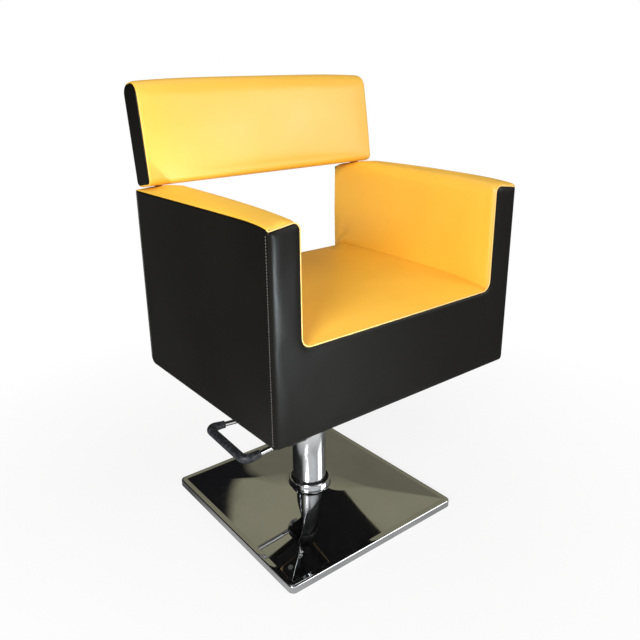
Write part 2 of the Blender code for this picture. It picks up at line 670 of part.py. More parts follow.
# Lift
def make_lift(chrome, steel, rubber):
    piston_top = PISTON_REST + PISTON_HEIGHT
    turned("ram", solid(RAM_RADIUS, piston_top + GAP, PLATE_BOTTOM - GAP), chrome, FINE_STEPS)
    radius = CYLINDER_BORE - RUN
    groove = radius - SEAL_DEPTH
    middle = PISTON_REST + PISTON_HEIGHT / 2
    low = middle - SEAL_HEIGHT / 2
    high = middle + SEAL_HEIGHT / 2
    section = [(0, piston_top), (radius, piston_top), (radius, high + GAP), (groove, high + GAP),
               (groove, low - GAP), (radius, low - GAP), (radius, PISTON_REST), (0, PISTON_REST)]
    turned("ram_piston", section, steel)
    turned("piston_seal", tube(radius, groove + GAP, low, high), rubber)

    half_x = PLATE_WIDTH / 2
    half_y = PLATE_DEPTH / 2
    outline = round_rectangle(half_x, half_y, PLATE_CORNER)
    plate = extruded("seat_plate", outline, "XY", PLATE_BOTTOM, PLATE_BOTTOM + PLATE_THICK, steel)
    section = tube(RAM_HUB_RADIUS, RAM_RADIUS + GAP, HUB_BOTTOM, PLATE_BOTTOM + PLATE_THICK / 2)
    hub = turned("ram_hub", section, steel)
    bolt = stud(BOLT_RADIUS, BOLT_HEAD_RADIUS, BOLT_HEAD, PLATE_THICK + 2 * GAP + BOLT_GRIP)
    up = Matrix.Translation((0, 0, PLATE_BOTTOM - GAP))
    holes = four_studs("seat_bolt", bolt, half_x - BOLT_INSET, half_y - BOLT_INSET, up, steel)
    join(plate, hub)
    cut(plate, holes)
    return holes


# Seat shell
def make_frame(timber, cloth, bolt_holes):
    board_rear = BODY_REAR - CORNER_REAR
    board = block("bottom_board", (-FRAME_OUTER, PAD_FRONT, BOARD_BOTTOM),
                  (FRAME_OUTER, board_rear, BOARD_TOP), timber)
    cut(board, bolt_holes)
    dust_top = BOARD_BOTTOM - GAP
    cover = block("dust_cover", (-FRAME_OUTER, PAD_FRONT, dust_top - DUST_COVER),
                  (FRAME_OUTER, board_rear - COVER_TURN - GAP, dust_top), cloth)
    half_x = PLATE_WIDTH / 2 + PLATE_MARGIN
    half_y = PLATE_DEPTH / 2 + PLATE_MARGIN
    cut(cover, block("dust_cover_opening", (-half_x, -half_y, dust_top - DUST_COVER - OVERSHOOT),
                     (half_x, half_y, dust_top + OVERSHOOT), cloth))
    for name, near in (("front_rail", PAD_FRONT), ("rear_rail", PAD_REAR - RAIL_WIDTH)):
        block(name, (-PAD_OUTER, near, RAIL_BOTTOM), (PAD_OUTER, near + RAIL_WIDTH, RAIL_TOP), timber)
    block("seat_deck", (-PAD_OUTER, PAD_FRONT, DECK_BOTTOM), (PAD_OUTER, PAD_REAR, DECK_TOP), timber)

    lower = FRAME_DROP + GAP
    outline = [(PAD_FRONT, RAIL_BOTTOM), (PAD_REAR, RAIL_BOTTOM),
               (PAD_REAR, arm_edge(PAD_REAR) - lower), (PAD_FRONT, arm_edge(PAD_FRONT) - lower)]
    for name, side in (("left_arm_frame", -1), ("right_arm_frame", 1)):
        extruded(name, outline, "YZ", side * FRAME_INNER, side * FRAME_OUTER, timber)


def arm_section(y, inset):
    """Section of an arm pad: a full inner face, a crowned top, and a lip above the frame and side cover."""
    edge = arm_edge(y)
    under = edge - FRAME_DROP
    crest = arm_crest(y) - inset
    rise = crest - edge
    inner = ARM_INNER + inset
    middle = (SEAT_EDGE + crest) / 2
    corners = [(inner + ARM_BULGE, FOAM_BOTTOM, 0), (PAD_OUTER, FOAM_BOTTOM, 0), (PAD_OUTER, under, 0),
               (FRAME_OUTER, under, 0), (FRAME_OUTER, edge, 0), (SIDE, edge, 0),
               (SIDE, edge + SHOULDER * rise, SHOULDER_ROUND * rise),
               (SIDE - CREST_SHARE * ARM_WIDTH, crest, CORNER_TOP_IN),
               (inner + ARM_BULGE, crest - CREST_FALL, CORNER_TOP_IN), (inner, middle, ARM_WIDTH)]
    return filleted(corners)


def make_arm_pads(vinyl, brackets):
    """Arm pads, with their sections closer where the crest bends: at the front and under the back bar."""
    shares = [(step / LOFT_STEPS) ** 2 for step in range(LOFT_STEPS + 1)]
    places = [PAD_FRONT + (BACK_FRONT - PAD_FRONT) * share for share in shares] + [PAD_REAR]
    for name, side in (("left_arm_pad", -1), ("right_arm_pad", 1)):
        rings = []
        for y in places:
            inset = PAD_DRAW if y in (PAD_FRONT, PAD_REAR) else 0.0
            rings.append([(side * x, y, z) for x, z in arm_section(y, inset)])
        pad = lofted(name, rings, vinyl)
        cut(pad, brackets[side])


def make_cushion(vinyl):
    """Seat cushion: round edges, a crowned top and sides that draw in between the corners."""
    half = Vector((ARM_INNER - GAP, (PAD_REAR - PAD_FRONT) / 2, (SEAT_EDGE - FOAM_BOTTOM) / 2))
    centre = Vector((0, (PAD_REAR + PAD_FRONT) / 2, (SEAT_EDGE + FOAM_BOTTOM) / 2))
    core = half - Vector((CUSHION_EDGE, CUSHION_EDGE, CUSHION_EDGE))
    mesh = bmesh.new()
    bmesh.ops.create_cube(mesh, size=2)
    upright = [edge for edge in mesh.edges if abs(edge.verts[0].co.z - edge.verts[1].co.z) > 1]
    level = [edge for edge in mesh.edges if edge not in upright]
    bmesh.ops.subdivide_edges(mesh, edges=level, cuts=CUSHION_CUTS, use_grid_fill=True)
    upright = [edge for edge in mesh.edges if abs(edge.verts[0].co.z - edge.verts[1].co.z) > 1]
    bmesh.ops.subdivide_edges(mesh, edges=upright, cuts=ARC_STEPS - 1, use_grid_fill=True)
    for vert in mesh.verts:
        u, v, w = (sin(value * pi / 2) for value in vert.co)
        point = Vector((u * half.x, v * half.y, w * half.z))
        kept = Vector([max(-limit, min(limit, value)) for value, limit in zip(point, core)])
        if w < 0:
            kept.z = point.z
        offset = point - kept
        if offset.length > CUSHION_EDGE:
            offset = offset.normalized() * CUSHION_EDGE
        point = kept + offset
        point.x -= CUSHION_DRAW * u * (1 - v * v) * (1 - w * w)
        point.y -= CUSHION_DRAW * v * (1 - u * u) * (1 - w * w)
        lift = SEAT_CROWN * (1 - u ** 4) * (1 - v ** 4) + SEAT_RISE * (1 + v) / 2
        point.z += lift * (1 + w) / 2
        vert.co = point + centre
    finish("seat_cushion", mesh, vinyl)


def make_covers(vinyl):
    """Front panel under the yellow edge, two sides, and a rear panel that turns in under the seat."""
    inner = ARM_INNER + PANEL_INSET
    right = [(SIDE, BODY_BOTTOM, CORNER_BOTTOM), (SIDE, arm_edge(BODY_FRONT), CORNER_TOP_OUT),
             (inner, arm_crest(BODY_FRONT) - PANEL_INSET, CORNER_TOP_IN - PANEL_INSET),
             (inner, SEAT_EDGE - PANEL_INSET, CORNER_SEAT)]
    outline = filleted(right + [(-x, z, radius) for x, z, radius in reversed(right)])
    rounded(extruded("front_cover", outline, "XZ", BODY_FRONT, COVER_FRONT, vinyl), COVER_EDGE, 1)

    top = arm_edge(BODY_REAR) - GAP
    corners = [(PAD_FRONT, BODY_BOTTOM, 0), (BODY_REAR, BODY_BOTTOM, CORNER_REAR),
               (BODY_REAR, top, 0), (PAD_FRONT, arm_edge(PAD_FRONT) - GAP, 0)]
    for name, side in (("left_side_cover", -1), ("right_side_cover", 1)):
        extruded(name, filleted(corners), "YZ", side * (SIDE - COVER), side * SIDE, vinyl)

    turn_end = BODY_REAR - CORNER_REAR - COVER_TURN
    corners = [(BODY_REAR, top, 0), (BODY_REAR, BODY_BOTTOM, CORNER_REAR), (turn_end, BODY_BOTTOM, 0),
               (turn_end, BODY_BOTTOM + COVER, 0), (COVER_REAR, BODY_BOTTOM + COVER, CORNER_REAR - COVER),
               (COVER_REAR, top, 0)]
    cover = extruded("rear_cover", filleted(corners), "YZ", -FRAME_OUTER, FRAME_OUTER, vinyl)
    cut(cover, block("rear_notch", (-ARM_INNER, COVER_REAR - OVERSHOOT, REAR_EDGE),
                     (ARM_INNER, BODY_REAR + OVERSHOOT, top + OVERSHOOT), vinyl))


# Back bar
def back_section(share):
    """Section of the back bar across its width, in (depth, height), fuller in the middle."""
    full = 1 - (2 * share - 1) ** 4
    bulge = BACK_END_BULGE + (BACK_BULGE - BACK_END_BULGE) * full
    top = BACK_HEIGHT + BACK_CROWN * full
    corners = [(BACK_BULGE, 0, BACK_LOW), (BACK_THICK, 0, BACK_LOW), (BACK_THICK, top, BACK_TOP_REAR),
               (BACK_BULGE, top, BACK_TOP_FRONT), (BACK_BULGE - bulge, top / 2, BACK_HEIGHT / 4)]
    return filleted(corners)


def make_back(yellow, black, timber, tilt, brackets):
    rings = []
    end = SIDE - COVER - GAP
    for step in range(LOFT_STEPS + 1):
        share = step / LOFT_STEPS
        x = -end + 2 * end * (1 - cos(pi * share)) / 2
        rings.append([(x, depth, height) for depth, height in back_section(share)])
    pad = lofted("back_pad", rings, yellow, tilt)
    for name, side in (("left_back_end", -1), ("right_back_end", 1)):
        rounded(extruded(name, back_section(0), "YZ", side * (SIDE - COVER), side * SIDE, black, tilt),
                COVER_EDGE, 1)
    middle = BACK_THICK / 2
    half = BACK_BOARD / 2
    low = BACK_MARGIN
    high = BACK_HEIGHT - BACK_MARGIN
    block("back_board", (-BACK_BOARD_SIDE, middle - half, low),
          (BACK_BOARD_SIDE, middle + half, high), timber, tilt)
    room = block("back_board_room", (-BRACKET_OUTER, middle - half - GAP, low - GAP),
                 (BRACKET_OUTER, middle + half + GAP, high + GAP), timber, tilt)
    cut(pad, room, brackets[-1], brackets[1])


def bracket_outline(margin):
    """Bent flat bar in the YZ plane: upright inside the arm, leaning inside the back bar."""
    bend_y = BACK_FRONT + BACK_THICK / 2 * cos(BACK_LEAN)
    bend_z = BACK_BOTTOM - BACK_THICK / 2 * sin(BACK_LEAN)
    half = BRACKET_WIDTH / 2 + margin
    shift = half * tan(BACK_LEAN / 2)
    along = Vector((sin(BACK_LEAN), cos(BACK_LEAN)))
    aside = Vector((cos(BACK_LEAN), -sin(BACK_LEAN)))
    end = Vector((bend_y, bend_z)) + along * (BRACKET_REACH + margin)
    foot = BRACKET_FOOT - margin
    return [(bend_y - half, foot), (bend_y + half, foot), (bend_y + half, bend_z - shift),
            tuple(end + aside * half), tuple(end - aside * half), (bend_y - half, bend_z + shift)]


def make_brackets(steel):
    """Two brackets that carry the back bar, and the tools for the slots they leave in the foam."""
    rooms = {}
    for name, side in (("left_back_bracket", -1), ("right_back_bracket", 1)):
        extruded(name, bracket_outline(0), "YZ", side * BRACKET_INNER, side * BRACKET_OUTER, steel)
        rooms[side] = extruded(name + "_room", bracket_outline(GAP), "YZ", side * (BRACKET_INNER - GAP),
                               side * (BRACKET_OUTER + GAP), steel)
    return rooms


def main():
    for shape in list(bpy.data.objects):
        bpy.data.objects.remove(shape)
    chrome = material("chrome", (0.80, 0.80, 0.80), 0.06, 1.0)
    steel = material("zinc_steel", (0.50, 0.50, 0.50), 0.35, 1.0)
    rubber = material("black_rubber", (0.03, 0.03, 0.035), 0.6)
    nylon = material("black_nylon", (0.02, 0.02, 0.02), 0.5)
    yellow = material("yellow_vinyl", (0.95, 0.55, 0.10), 0.40)
    black = material("black_vinyl", (0.015, 0.014, 0.012), 0.40)
    timber = material("plywood", (0.62, 0.45, 0.27), 0.7)
    cloth = material("dust_cloth", (0.02, 0.02, 0.02), 0.9)

    heading = local_frame("pump_heading", (0, 0, 0), (0, 0, PEDAL_YAW))
    tilt = local_frame("back_tilt", (0, BACK_FRONT, BACK_BOTTOM), (-BACK_LEAN, 0, 0))
    make_base(chrome, steel, rubber, nylon)
    make_pump(chrome, steel, nylon, rubber, heading)
    make_pedal(chrome, steel, rubber, heading)
    make_plunger(steel, heading)
    bolt_holes = make_lift(chrome, steel, rubber)
    make_frame(timber, cloth, bolt_holes)
    bracket_rooms = make_brackets(steel)
    make_arm_pads(yellow, bracket_rooms)
    make_cushion(yellow)
    make_covers(black)
    make_back(yellow, black, timber, tilt, bracket_rooms)


main()
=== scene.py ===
"""Looks of a salon styling chair: vinyl upholstery, chrome base and column, rubber pedal grip.

Metres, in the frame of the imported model: +Z up, the sitter faces -Y, the pedal points to -X.
"""
import json
from math import ceil, cos, pi, radians, sin, sqrt, tan

import bmesh
import bpy
import numpy as np
from mathutils import Matrix, Vector, noise
from mathutils.geometry import delaunay_2d_cdt

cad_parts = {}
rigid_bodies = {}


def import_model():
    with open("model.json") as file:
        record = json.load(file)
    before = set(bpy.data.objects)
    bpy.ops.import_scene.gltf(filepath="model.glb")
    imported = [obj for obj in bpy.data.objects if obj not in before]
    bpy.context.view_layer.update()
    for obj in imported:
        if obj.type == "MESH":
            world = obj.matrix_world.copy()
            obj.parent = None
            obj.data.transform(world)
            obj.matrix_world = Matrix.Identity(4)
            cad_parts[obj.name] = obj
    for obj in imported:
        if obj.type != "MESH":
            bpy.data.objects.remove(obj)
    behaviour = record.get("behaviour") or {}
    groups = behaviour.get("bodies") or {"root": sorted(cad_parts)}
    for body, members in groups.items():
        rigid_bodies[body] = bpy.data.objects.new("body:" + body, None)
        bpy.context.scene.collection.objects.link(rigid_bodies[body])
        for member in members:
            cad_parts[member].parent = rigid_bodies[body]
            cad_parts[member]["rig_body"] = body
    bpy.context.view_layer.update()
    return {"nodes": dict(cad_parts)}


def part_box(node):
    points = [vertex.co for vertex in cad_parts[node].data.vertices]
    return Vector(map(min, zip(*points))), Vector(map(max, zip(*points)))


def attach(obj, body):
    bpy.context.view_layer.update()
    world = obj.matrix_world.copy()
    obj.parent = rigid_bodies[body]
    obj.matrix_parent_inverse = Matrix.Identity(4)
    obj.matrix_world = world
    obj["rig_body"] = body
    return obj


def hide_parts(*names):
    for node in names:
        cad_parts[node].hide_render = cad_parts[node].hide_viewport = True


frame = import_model()


def low(node):
    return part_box(node)[0]


def high(node):
    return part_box(node)[1]


# Sizes of the solids that the pieces dress
SIDE = high("right_side_cover").x
FRONT = low("front_cover").y
REAR = high("rear_cover").y
BOTTOM = low("front_cover").z
PAD_FRONT = low("seat_cushion").y
PAD_REAR = high("seat_cushion").y
FOAM_BOTTOM = low("seat_cushion").z
ARM_INNER = 0.245
ARM_WIDTH = 0.065
ARM_FRONT_EDGE = 0.768        # top of the black sides
ARM_REAR_EDGE = 0.7845
ARM_RISE = 0.0075             # crest of the arm pads above that
ARM_SWELL = 0.0110            # and its growth behind the front
ARM_FADE = 0.110
CREST_SHARE = 0.55
CREST_FALL = 0.003
SHOULDER = 0.45
SHOULDER_ROUND = 0.42
FRAME_OUTER = 0.3057
FRAME_DROP = 0.010
PAD_OUTER = 0.2804
ARM_BULGE = 0.0025
SEAT_EDGE = 0.562
SEAT_CROWN = 0.010
SEAT_RISE = 0.014
SEAT_CORNER = 0.004
REAR_EDGE = 0.566             # top of the rear panel below the opening
PANEL_INSET = 0.004           # yellow edge beside the front and rear panels
CORNER_TOP_IN = 0.016
CORNER_TOP_OUT = 0.006
CORNER_SEAT = 0.020
CORNER_FRONT = 0.010
CORNER_REAR = 0.017
COVER_TURN = 0.010
BACK_LEAN = radians(8.4)
BACK_FRONT = 0.1106
BACK_BOTTOM = 0.8004
BACK_CLEAR = 0.0006
BACK_HEIGHT = 0.2105
BACK_THICK = 0.0674
BACK_CROWN = 0.005
BACK_BULGE = 0.004
BACK_END_BULGE = 0.001
BACK_TOP_FRONT = 0.030
BACK_TOP_REAR = 0.022
BACK_LOW = 0.012
BACK_END = 0.0030             # thickness of the black ends
PEDAL_YAW = radians(-2.75)
PEDAL_SLOPE = radians(0.6)
PIVOT = (-0.052, 0, 0.2265)
HUB_SPREAD = 0.0620
HUB_RADIUS = 0.0150
HUB_LENGTH = 0.022
HUB_BORE = 0.0083
ARM_SPREAD = 0.0832
BAR_RADIUS = 0.0058
BAR_REACH = 0.177
BAR_SEAT = 0.0105
BEND_RADIUS = 0.0155
GRIP_REACH = 0.040
GRIP_RADIUS = 0.0104
GRIP_END_RADIUS = 0.0088
GRIP_BORE = 0.0060
GRIP_TAPER = 0.030
RIBS = 14
RIB_POINTS = 6
RIB_DEPTH = 0.055             # half the depth of a rib, as a share of the radius
RIB_START = 0.044             # plain length at each end of the grip
RIB_FADE = 0.014
BASE_HALF = high("base_shell").x
BASE_CORNER = 0.013
RIM_LIFT = 0.0015
RIM_TOP = 0.0178              # flat flange, below the solid's rolled edge
RIM_ROLL = 0.003
FLANGE = 0.011
FLANGE_CORNER = 0.003
SHELL_WALL = 0.002
NECK_RADIUS = 0.051
COLLAR_LIFT = 0.0065          # the neck and its collar stand higher than their solids
NECK_TOP = 0.0365 + COLLAR_LIFT
FLARE_WIDTH = 0.052
FLARE_CORNER = 0.008
FLARE_BEND = 0.12             # share of the rise that lies close to the neck
COLLAR_HOLE = 0.0469
COLLAR_SKIRT = 0.0015
COLLAR_PLATE = 0.004
CASING_WALL = 0.0025
RAM_BORE = 0.002

# Sizes of the upholstery
BULGE = 0.0015                # how far the front panel's filling stands ahead of its solid
WRAP = 0.004                  # fall of the front panel to the side seams
WRAP_WIDTH = 0.022
HEM = 0.004                   # the same along the bottom
HEM_WIDTH = 0.006
TUCK = 0.0035                 # fall of the front panel to its yellow seam
TUCK_WIDTH = 0.013
SIDE_EDGE = 0.002             # round edge of the side panels
SIDE_EDGE_WIDTH = 0.0025
SIDE_SINK = 0.0004            # how far they lie inside the solids
PANEL_EDGE = 0.0035           # round edge of the rear panel
SHEET = 0.0034                # vinyl with its backing
SEAM = 0.0008                 # half width of a seam
STITCH_PITCH = 0.0052
STITCH_HALF = 0.0019
STITCH_RADIUS = 0.0008
STITCH_SLANT = 0.00022
STITCH_DIP = 0.0004           # depth to which a stitch's ends dive
STITCH_SINK = 0.0003
STITCH_SIDES = 6
STITCH_FRONT = 0.0056         # stitching behind the front seam
STITCH_REAR = 0.0062          # and ahead of the rear edge
WELT = 0.0014                 # radius of the piping along the front
WELT_OUT = 0.0012             # how far it lies outside the front panel's edge
WELT_BACK = 0.0003
WELT_TURN = 0.004             # how far its ends run back along the sides
SEAM_FALL = 0.0085            # fall of the side seam from the rear to the front
SEAM_DIP = 0.0085             # and its further dip to the front corner
SEAM_DIP_LENGTH = 0.026
PAD_GAP = 0.0006
PAD_FULL = 0.004              # how far the arm pads' filling stands above their solids
PAD_FULL_SLOPE = 0.06         # and how fast it may grow ahead of the back bar
PAD_ROLL = 0.005              # fall of the arm pads to the front seam
PAD_ROLL_WIDTH = 0.014
PAD_END = 0.0035              # the same at their rear
PAD_END_WIDTH = 0.004
PAD_TURN = 0.0030             # how far the arm pads turn in beside the rear panel
LIP_START = 0.012             # border along the side seam, where both are slight
LIP_FADE = 0.010
LIP_HOLD = 0.9
SEAT_ROLL = 0.0035            # fall of the seat to the front seam
SEAT_ROLL_WIDTH = 0.028
SEAT_BACK = 0.007             # and at its rear
SEAT_BACK_WIDTH = 0.010
SEAT_SWEEP = 0.004            # rise of the seat's border onto the arms
SEAT_SWEEP_WIDTH = 0.016
SEAT_SWEEP_FADE = 0.03
SEAT_REACH = 0.0024           # how far that border presses into the arms
BACK_FULL = 0.0003            # how far the back bar's filling stands out of its solid
BACK_ROLL = 0.0024            # fall of its yellow sleeve to the black ends
BACK_ROLL_WIDTH = 0.009
BACK_END_INSET = 0.0032
BACK_END_ROLL = 0.0032
BACK_END_ROLL_WIDTH = 0.005

# Nets and rounding
SECTION_STEP = 0.0060
RINGS_NEAR_END = [0, 0.0004, 0.0012, 0.0025, 0.0042, 0.0065, 0.0095]
RING_KEEP = 0.98              # share of its inset that a point of an inner ring keeps
NET_CLEAR = 0.6               # room between the innermost ring and the net, in spacings
CREASE = radians(38)

WHITE = (1, 1, 1)
PHOTO_SIDE = (-0.55, -0.83, 0)    # from the chair towards the camera


# Materials
class Nodes:
    """A shader tree and the ways to add to it."""

    def __init__(self, tree):
        self.tree = tree

    def add(self, kind, inputs, output=0, **settings):
        node = self.tree.nodes.new("ShaderNode" + kind)
        for key, value in settings.items():
            setattr(node, key, value)
        for key, value in inputs.items():
            if isinstance(value, bpy.types.NodeSocket):
                self.tree.links.new(value, node.inputs[key])
            else:
                node.inputs[key].default_value = value
        return node.outputs[output]

    def math(self, operation, first, second):
        return self.add("Math", {0: first, 1: second}, operation=operation)

    def dot(self, vector, heading):
        return self.add("VectorMath", {0: vector, 1: heading}, "Value", operation="DOT_PRODUCT")

    def spread(self, value, start, end, first=0.0, last=1.0):
        return self.add("MapRange", {"Value": value, "From Min": start, "From Max": end,
                                     "To Min": first, "To Max": last})

    def mix(self, share, first, second):
        first, second = (colour if isinstance(colour, bpy.types.NodeSocket) else (*colour, 1.0)
                         for colour in (first, second))
        return self.add("Mix", {0: share, 6: first, 7: second}, 2, data_type="RGBA")

    def rays(self):
        """Whether a ray comes from the camera, from a glossy surface or through a clear one."""
        return (self.add("LightPath", {}, "Is %s Ray" % kind)
                for kind in ("Camera", "Glossy", "Transmission"))

    def blend(self, share, first, second, output):
        """Two shaders mixed into the tree's output."""
        mixed = self.add("MixShader", {0: share, 1: first, 2: second})
        self.tree.links.new(mixed, self.tree.nodes[output].inputs["Surface"])


class Look(Nodes):
    """A material whose textures are laid out in metres."""

    def __init__(self, name, **sockets):
        self.material = bpy.data.materials.new(name)
        self.material.use_nodes = True
        super().__init__(self.material.node_tree)
        self.surface = self.tree.nodes["Principled BSDF"]
        self.normal = None
        for socket, value in sockets.items():
            self.surface.inputs[socket.replace("_", " ")].default_value = value

    def place(self, stretch=(1, 1, 1)):
        where = self.add("TexCoord", {}, "Object")
        return self.add("Mapping", {"Vector": where, "Scale": stretch})

    def noise(self, scale, detail=3.0, stretch=(1, 1, 1)):
        return self.add("TexNoise", {"Vector": self.place(stretch), "Scale": scale,
                                     "Detail": detail}, "Fac")

    def cells(self, scale):
        return self.add("TexVoronoi", {"Vector": self.place(), "Scale": scale}, "Distance")

    def waves(self, scale, distortion, direction):
        return self.add("TexWave", {"Vector": self.place(), "Scale": scale,
                                    "Distortion": distortion, "Detail": 3.0}, "Fac",
                        bands_direction=direction)

    def colour(self, value):
        self.tree.links.new(value, self.surface.inputs["Base Color"])

    def roughness(self, value):
        self.tree.links.new(value, self.surface.inputs["Roughness"])

    def bump(self, height, strength, distance):
        inputs = {"Height": height, "Strength": strength, "Distance": distance}
        if self.normal:
            inputs["Normal"] = self.normal
        self.normal = self.add("Bump", inputs)
        self.tree.links.new(self.normal, self.surface.inputs["Normal"])


def vinyl(name, deep, plain, worn, roughness, gloss, coat):
    """Upholstery vinyl: pebbled grain, slow colour change, and worn high edges."""
    look = Look(name, Specular_IOR_Level=gloss, Coat_Weight=coat, Coat_Roughness=0.28)
    tone = look.mix(look.spread(look.noise(4.0), 0.35, 0.65), deep, plain)
    pebble = look.cells(640.0)
    tone = look.mix(look.spread(pebble, 0.25, 0.6, 0.0, 0.35), tone, deep)
    edge = look.add("NewGeometry", {}, "Pointiness")
    look.colour(look.mix(look.spread(edge, 0.53, 0.62, 0.0, 0.5), tone, worn))
    look.roughness(look.spread(look.noise(7.0, 5.0), 0.3, 0.7, roughness - 0.05, roughness + 0.07))
    look.bump(look.noise(55.0, 4.0), 0.10, 0.0010)
    look.bump(pebble, 0.16, 0.00022)
    look.bump(look.noise(1500.0, 2.0), 0.10, 0.00008)
    return look


def chrome_plate(name, haze):
    """Chrome with faint smudges, polishing lines and dust, mirror-like or hazed."""
    look = Look(name, Metallic=1.0)
    smudge = look.noise(9.0, 6.0)
    look.colour(look.mix(look.spread(smudge, 0.35, 0.75), (0.68, 0.69, 0.70), (0.60, 0.61, 0.62)))
    dust = look.spread(look.noise(420.0, 1.0), 0.70, 0.82, 0.0, 0.22)
    film = look.spread(smudge, 0.45, 0.8, haze, haze + 0.06)
    look.roughness(look.math("ADD", film, dust))
    look.bump(look.noise(60.0, 2.0, (1, 1, 12)), 0.012, 0.0005)
    return look


def plated_steel(name, dark, bright):
    """Plated or blacked steel: crystals under a dull film."""
    look = Look(name, Metallic=1.0)
    look.colour(look.mix(look.spread(look.cells(160.0), 0.0, 0.7), dark, bright))
    look.roughness(look.spread(look.noise(40.0, 5.0), 0.3, 0.7, 0.26, 0.46))
    look.bump(look.noise(300.0, 3.0), 0.08, 0.0002)
    return look


def rubber():
    """Moulded rubber, greyed by shoes."""
    look = Look("moulded_rubber", Specular_IOR_Level=0.35)
    scuff = look.spread(look.noise(130.0, 5.0), 0.45, 0.75)
    look.colour(look.mix(scuff, (0.016, 0.018, 0.021), (0.060, 0.068, 0.078)))
    look.roughness(look.spread(scuff, 0.0, 1.0, 0.38, 0.6))
    look.bump(look.noise(900.0, 3.0), 0.15, 0.0002)
    return look


def nylon():
    """Nylon with fine turning lines."""
    look = Look("turned_nylon", Specular_IOR_Level=0.4)
    look.colour(look.mix(look.noise(90.0), (0.012, 0.012, 0.013), (0.024, 0.024, 0.025)))
    look.roughness(look.spread(look.noise(200.0), 0.3, 0.7, 0.35, 0.5))
    look.bump(look.waves(900.0, 0.4, "Z"), 0.05, 0.0001)
    return look


def plywood():
    """Plywood: fibres along X and veneers through the thickness."""
    look = Look("plywood_panel", Specular_IOR_Level=0.3)
    fibre = look.noise(30.0, 6.0, (0.12, 2.0, 2.0))
    veneer = look.waves(110.0, 0.6, "Z")
    tone = look.mix(look.spread(fibre, 0.3, 0.7), (0.42, 0.27, 0.13), (0.66, 0.48, 0.28))
    look.colour(look.mix(look.spread(veneer, 0.6, 1.0, 0.0, 0.4), tone, (0.30, 0.18, 0.08)))
    look.roughness(look.spread(fibre, 0.3, 0.7, 0.6, 0.8))
    look.bump(fibre, 0.3, 0.0004)
    return look


def dust_cloth():
    """Black non-woven cloth with its embossed points."""
    look = Look("dust_cloth_sheet", Specular_IOR_Level=0.15)
    point = look.cells(500.0)
    look.colour(look.mix(look.spread(point, 0.0, 0.5), (0.006,) * 3, (0.015,) * 3))
    look.roughness(look.spread(look.noise(60.0), 0.3, 0.7, 0.85, 0.97))
    look.bump(point, 0.4, 0.0004)
    return look


def thread():
    """Twisted sewing thread."""
    look = Look("sewing_thread", Specular_IOR_Level=0.3)
    twist = look.waves(1800.0, 0.5, "DIAGONAL")
    look.colour(look.mix(twist, (0.09, 0.088, 0.080), (0.22, 0.215, 0.200)))
    look.roughness(look.spread(twist, 0.0, 1.0, 0.5, 0.7))
    look.bump(twist, 0.4, 0.0002)
    return look


YELLOW = vinyl("yellow_vinyl_skin", (0.88, 0.485, 0.034), (0.94, 0.53, 0.044), (0.95, 0.63, 0.14),
               roughness=0.46, gloss=1.0, coat=0.16)
# Piping: a paler cream yellow than the vinyl, partly its own colour and partly a painted highlight
# along its round edge.
PIPING = vinyl("pale_piping_skin_with_painted_highlight", (0.91, 0.57, 0.15), (0.94, 0.62, 0.20), (0.95, 0.71, 0.32),
               roughness=0.36, gloss=0.7, coat=0.1)
BLACK = vinyl("black_vinyl_skin", (0.0040, 0.0036, 0.0026), (0.0065, 0.0060, 0.0046),
              (0.020, 0.019, 0.017), roughness=0.36, gloss=0.05, coat=0.13)
CHROME = chrome_plate("chrome_plate", haze=0.025)
SATIN = chrome_plate("satin_chrome", haze=0.17)
STEEL = plated_steel("zinc_plate", (0.42, 0.42, 0.40), (0.58, 0.58, 0.57))
BLACKED = plated_steel("blacked_steel", (0.020, 0.020, 0.021), (0.045, 0.045, 0.046))
RUBBER = rubber()
THREAD = thread()
LOOKS = {"yellow_vinyl": YELLOW, "black_vinyl": BLACK, "chrome": CHROME, "zinc_steel": STEEL,
         "black_rubber": RUBBER, "black_nylon": nylon(), "plywood": plywood(),
         "dust_cloth": dust_cloth()}


# Shapes
def filleted(corners, steps=8):
    """Closed outline through (a, b, radius) corners, rounded, or sharp where the radius is 0."""
    outline = []
    for index, (a, b, radius) in enumerate(corners):
        here = Vector((a, b))
        if radius == 0:
            outline.append(here)
            continue
        before = (Vector(corners[index - 1][:2]) - here).normalized()
        after = (Vector(corners[(index + 1) % len(corners)][:2]) - here).normalized()
        half = before.angle(after) / 2
        centre = here + (before + after).normalized() * radius / sin(half)
        for step in range(steps + 1):
            share = step / steps
            spoke = (before * (1 - share) + after * share) * radius / tan(half) + here - centre
            outline.append(centre + spoke.normalized() * radius)
    return outline


def resampled(outline, spacing):
    """Closed outline as an array, with no two points farther apart than the spacing."""
    made = []
    for here, after in zip(outline, outline[1:] + outline[:1]):
        count = max(1, ceil((after - here).length / spacing))
        made += [tuple(here.lerp(after, step / count)) for step in range(count)]
    made = np.array(made)
    follow = np.roll(made, -1, 0)
    area = np.sum(made[:, 0] * follow[:, 1] - made[:, 1] * follow[:, 0])
    return made if area > 0 else made[::-1]


def subdivided(outline, counts):
    """Closed outline as an array, each side cut into its count of parts."""
    made = []
    for here, after, count in zip(outline, outline[1:] + outline[:1], counts):
        made += [tuple(here.lerp(after, step / count)) for step in range(count)]
    return np.array(made)


def even(outline, count):
    """Closed outline as a fixed count of evenly spaced points, anticlockwise."""
    rim = resampled(outline, 0.002)
    closed = np.vstack([rim, rim[:1]])
    steps = np.linalg.norm(np.diff(closed, axis=0), axis=1)
    length = np.concatenate([[0], np.cumsum(steps)])
    at = np.linspace(0, length[-1], count, endpoint=False)
    return np.stack([np.interp(at, length, closed[:, axis]) for axis in (0, 1)], 1)


def finer(route, spacing):
    """Open route with no two points farther apart than the spacing."""
    made = []
    for here, after in zip(route, route[1:]):
        count = max(1, ceil((Vector(after) - Vector(here)).length / spacing))
        made += [tuple(Vector(here).lerp(Vector(after), step / count)) for step in range(count)]
    return made + [tuple(route[-1])]


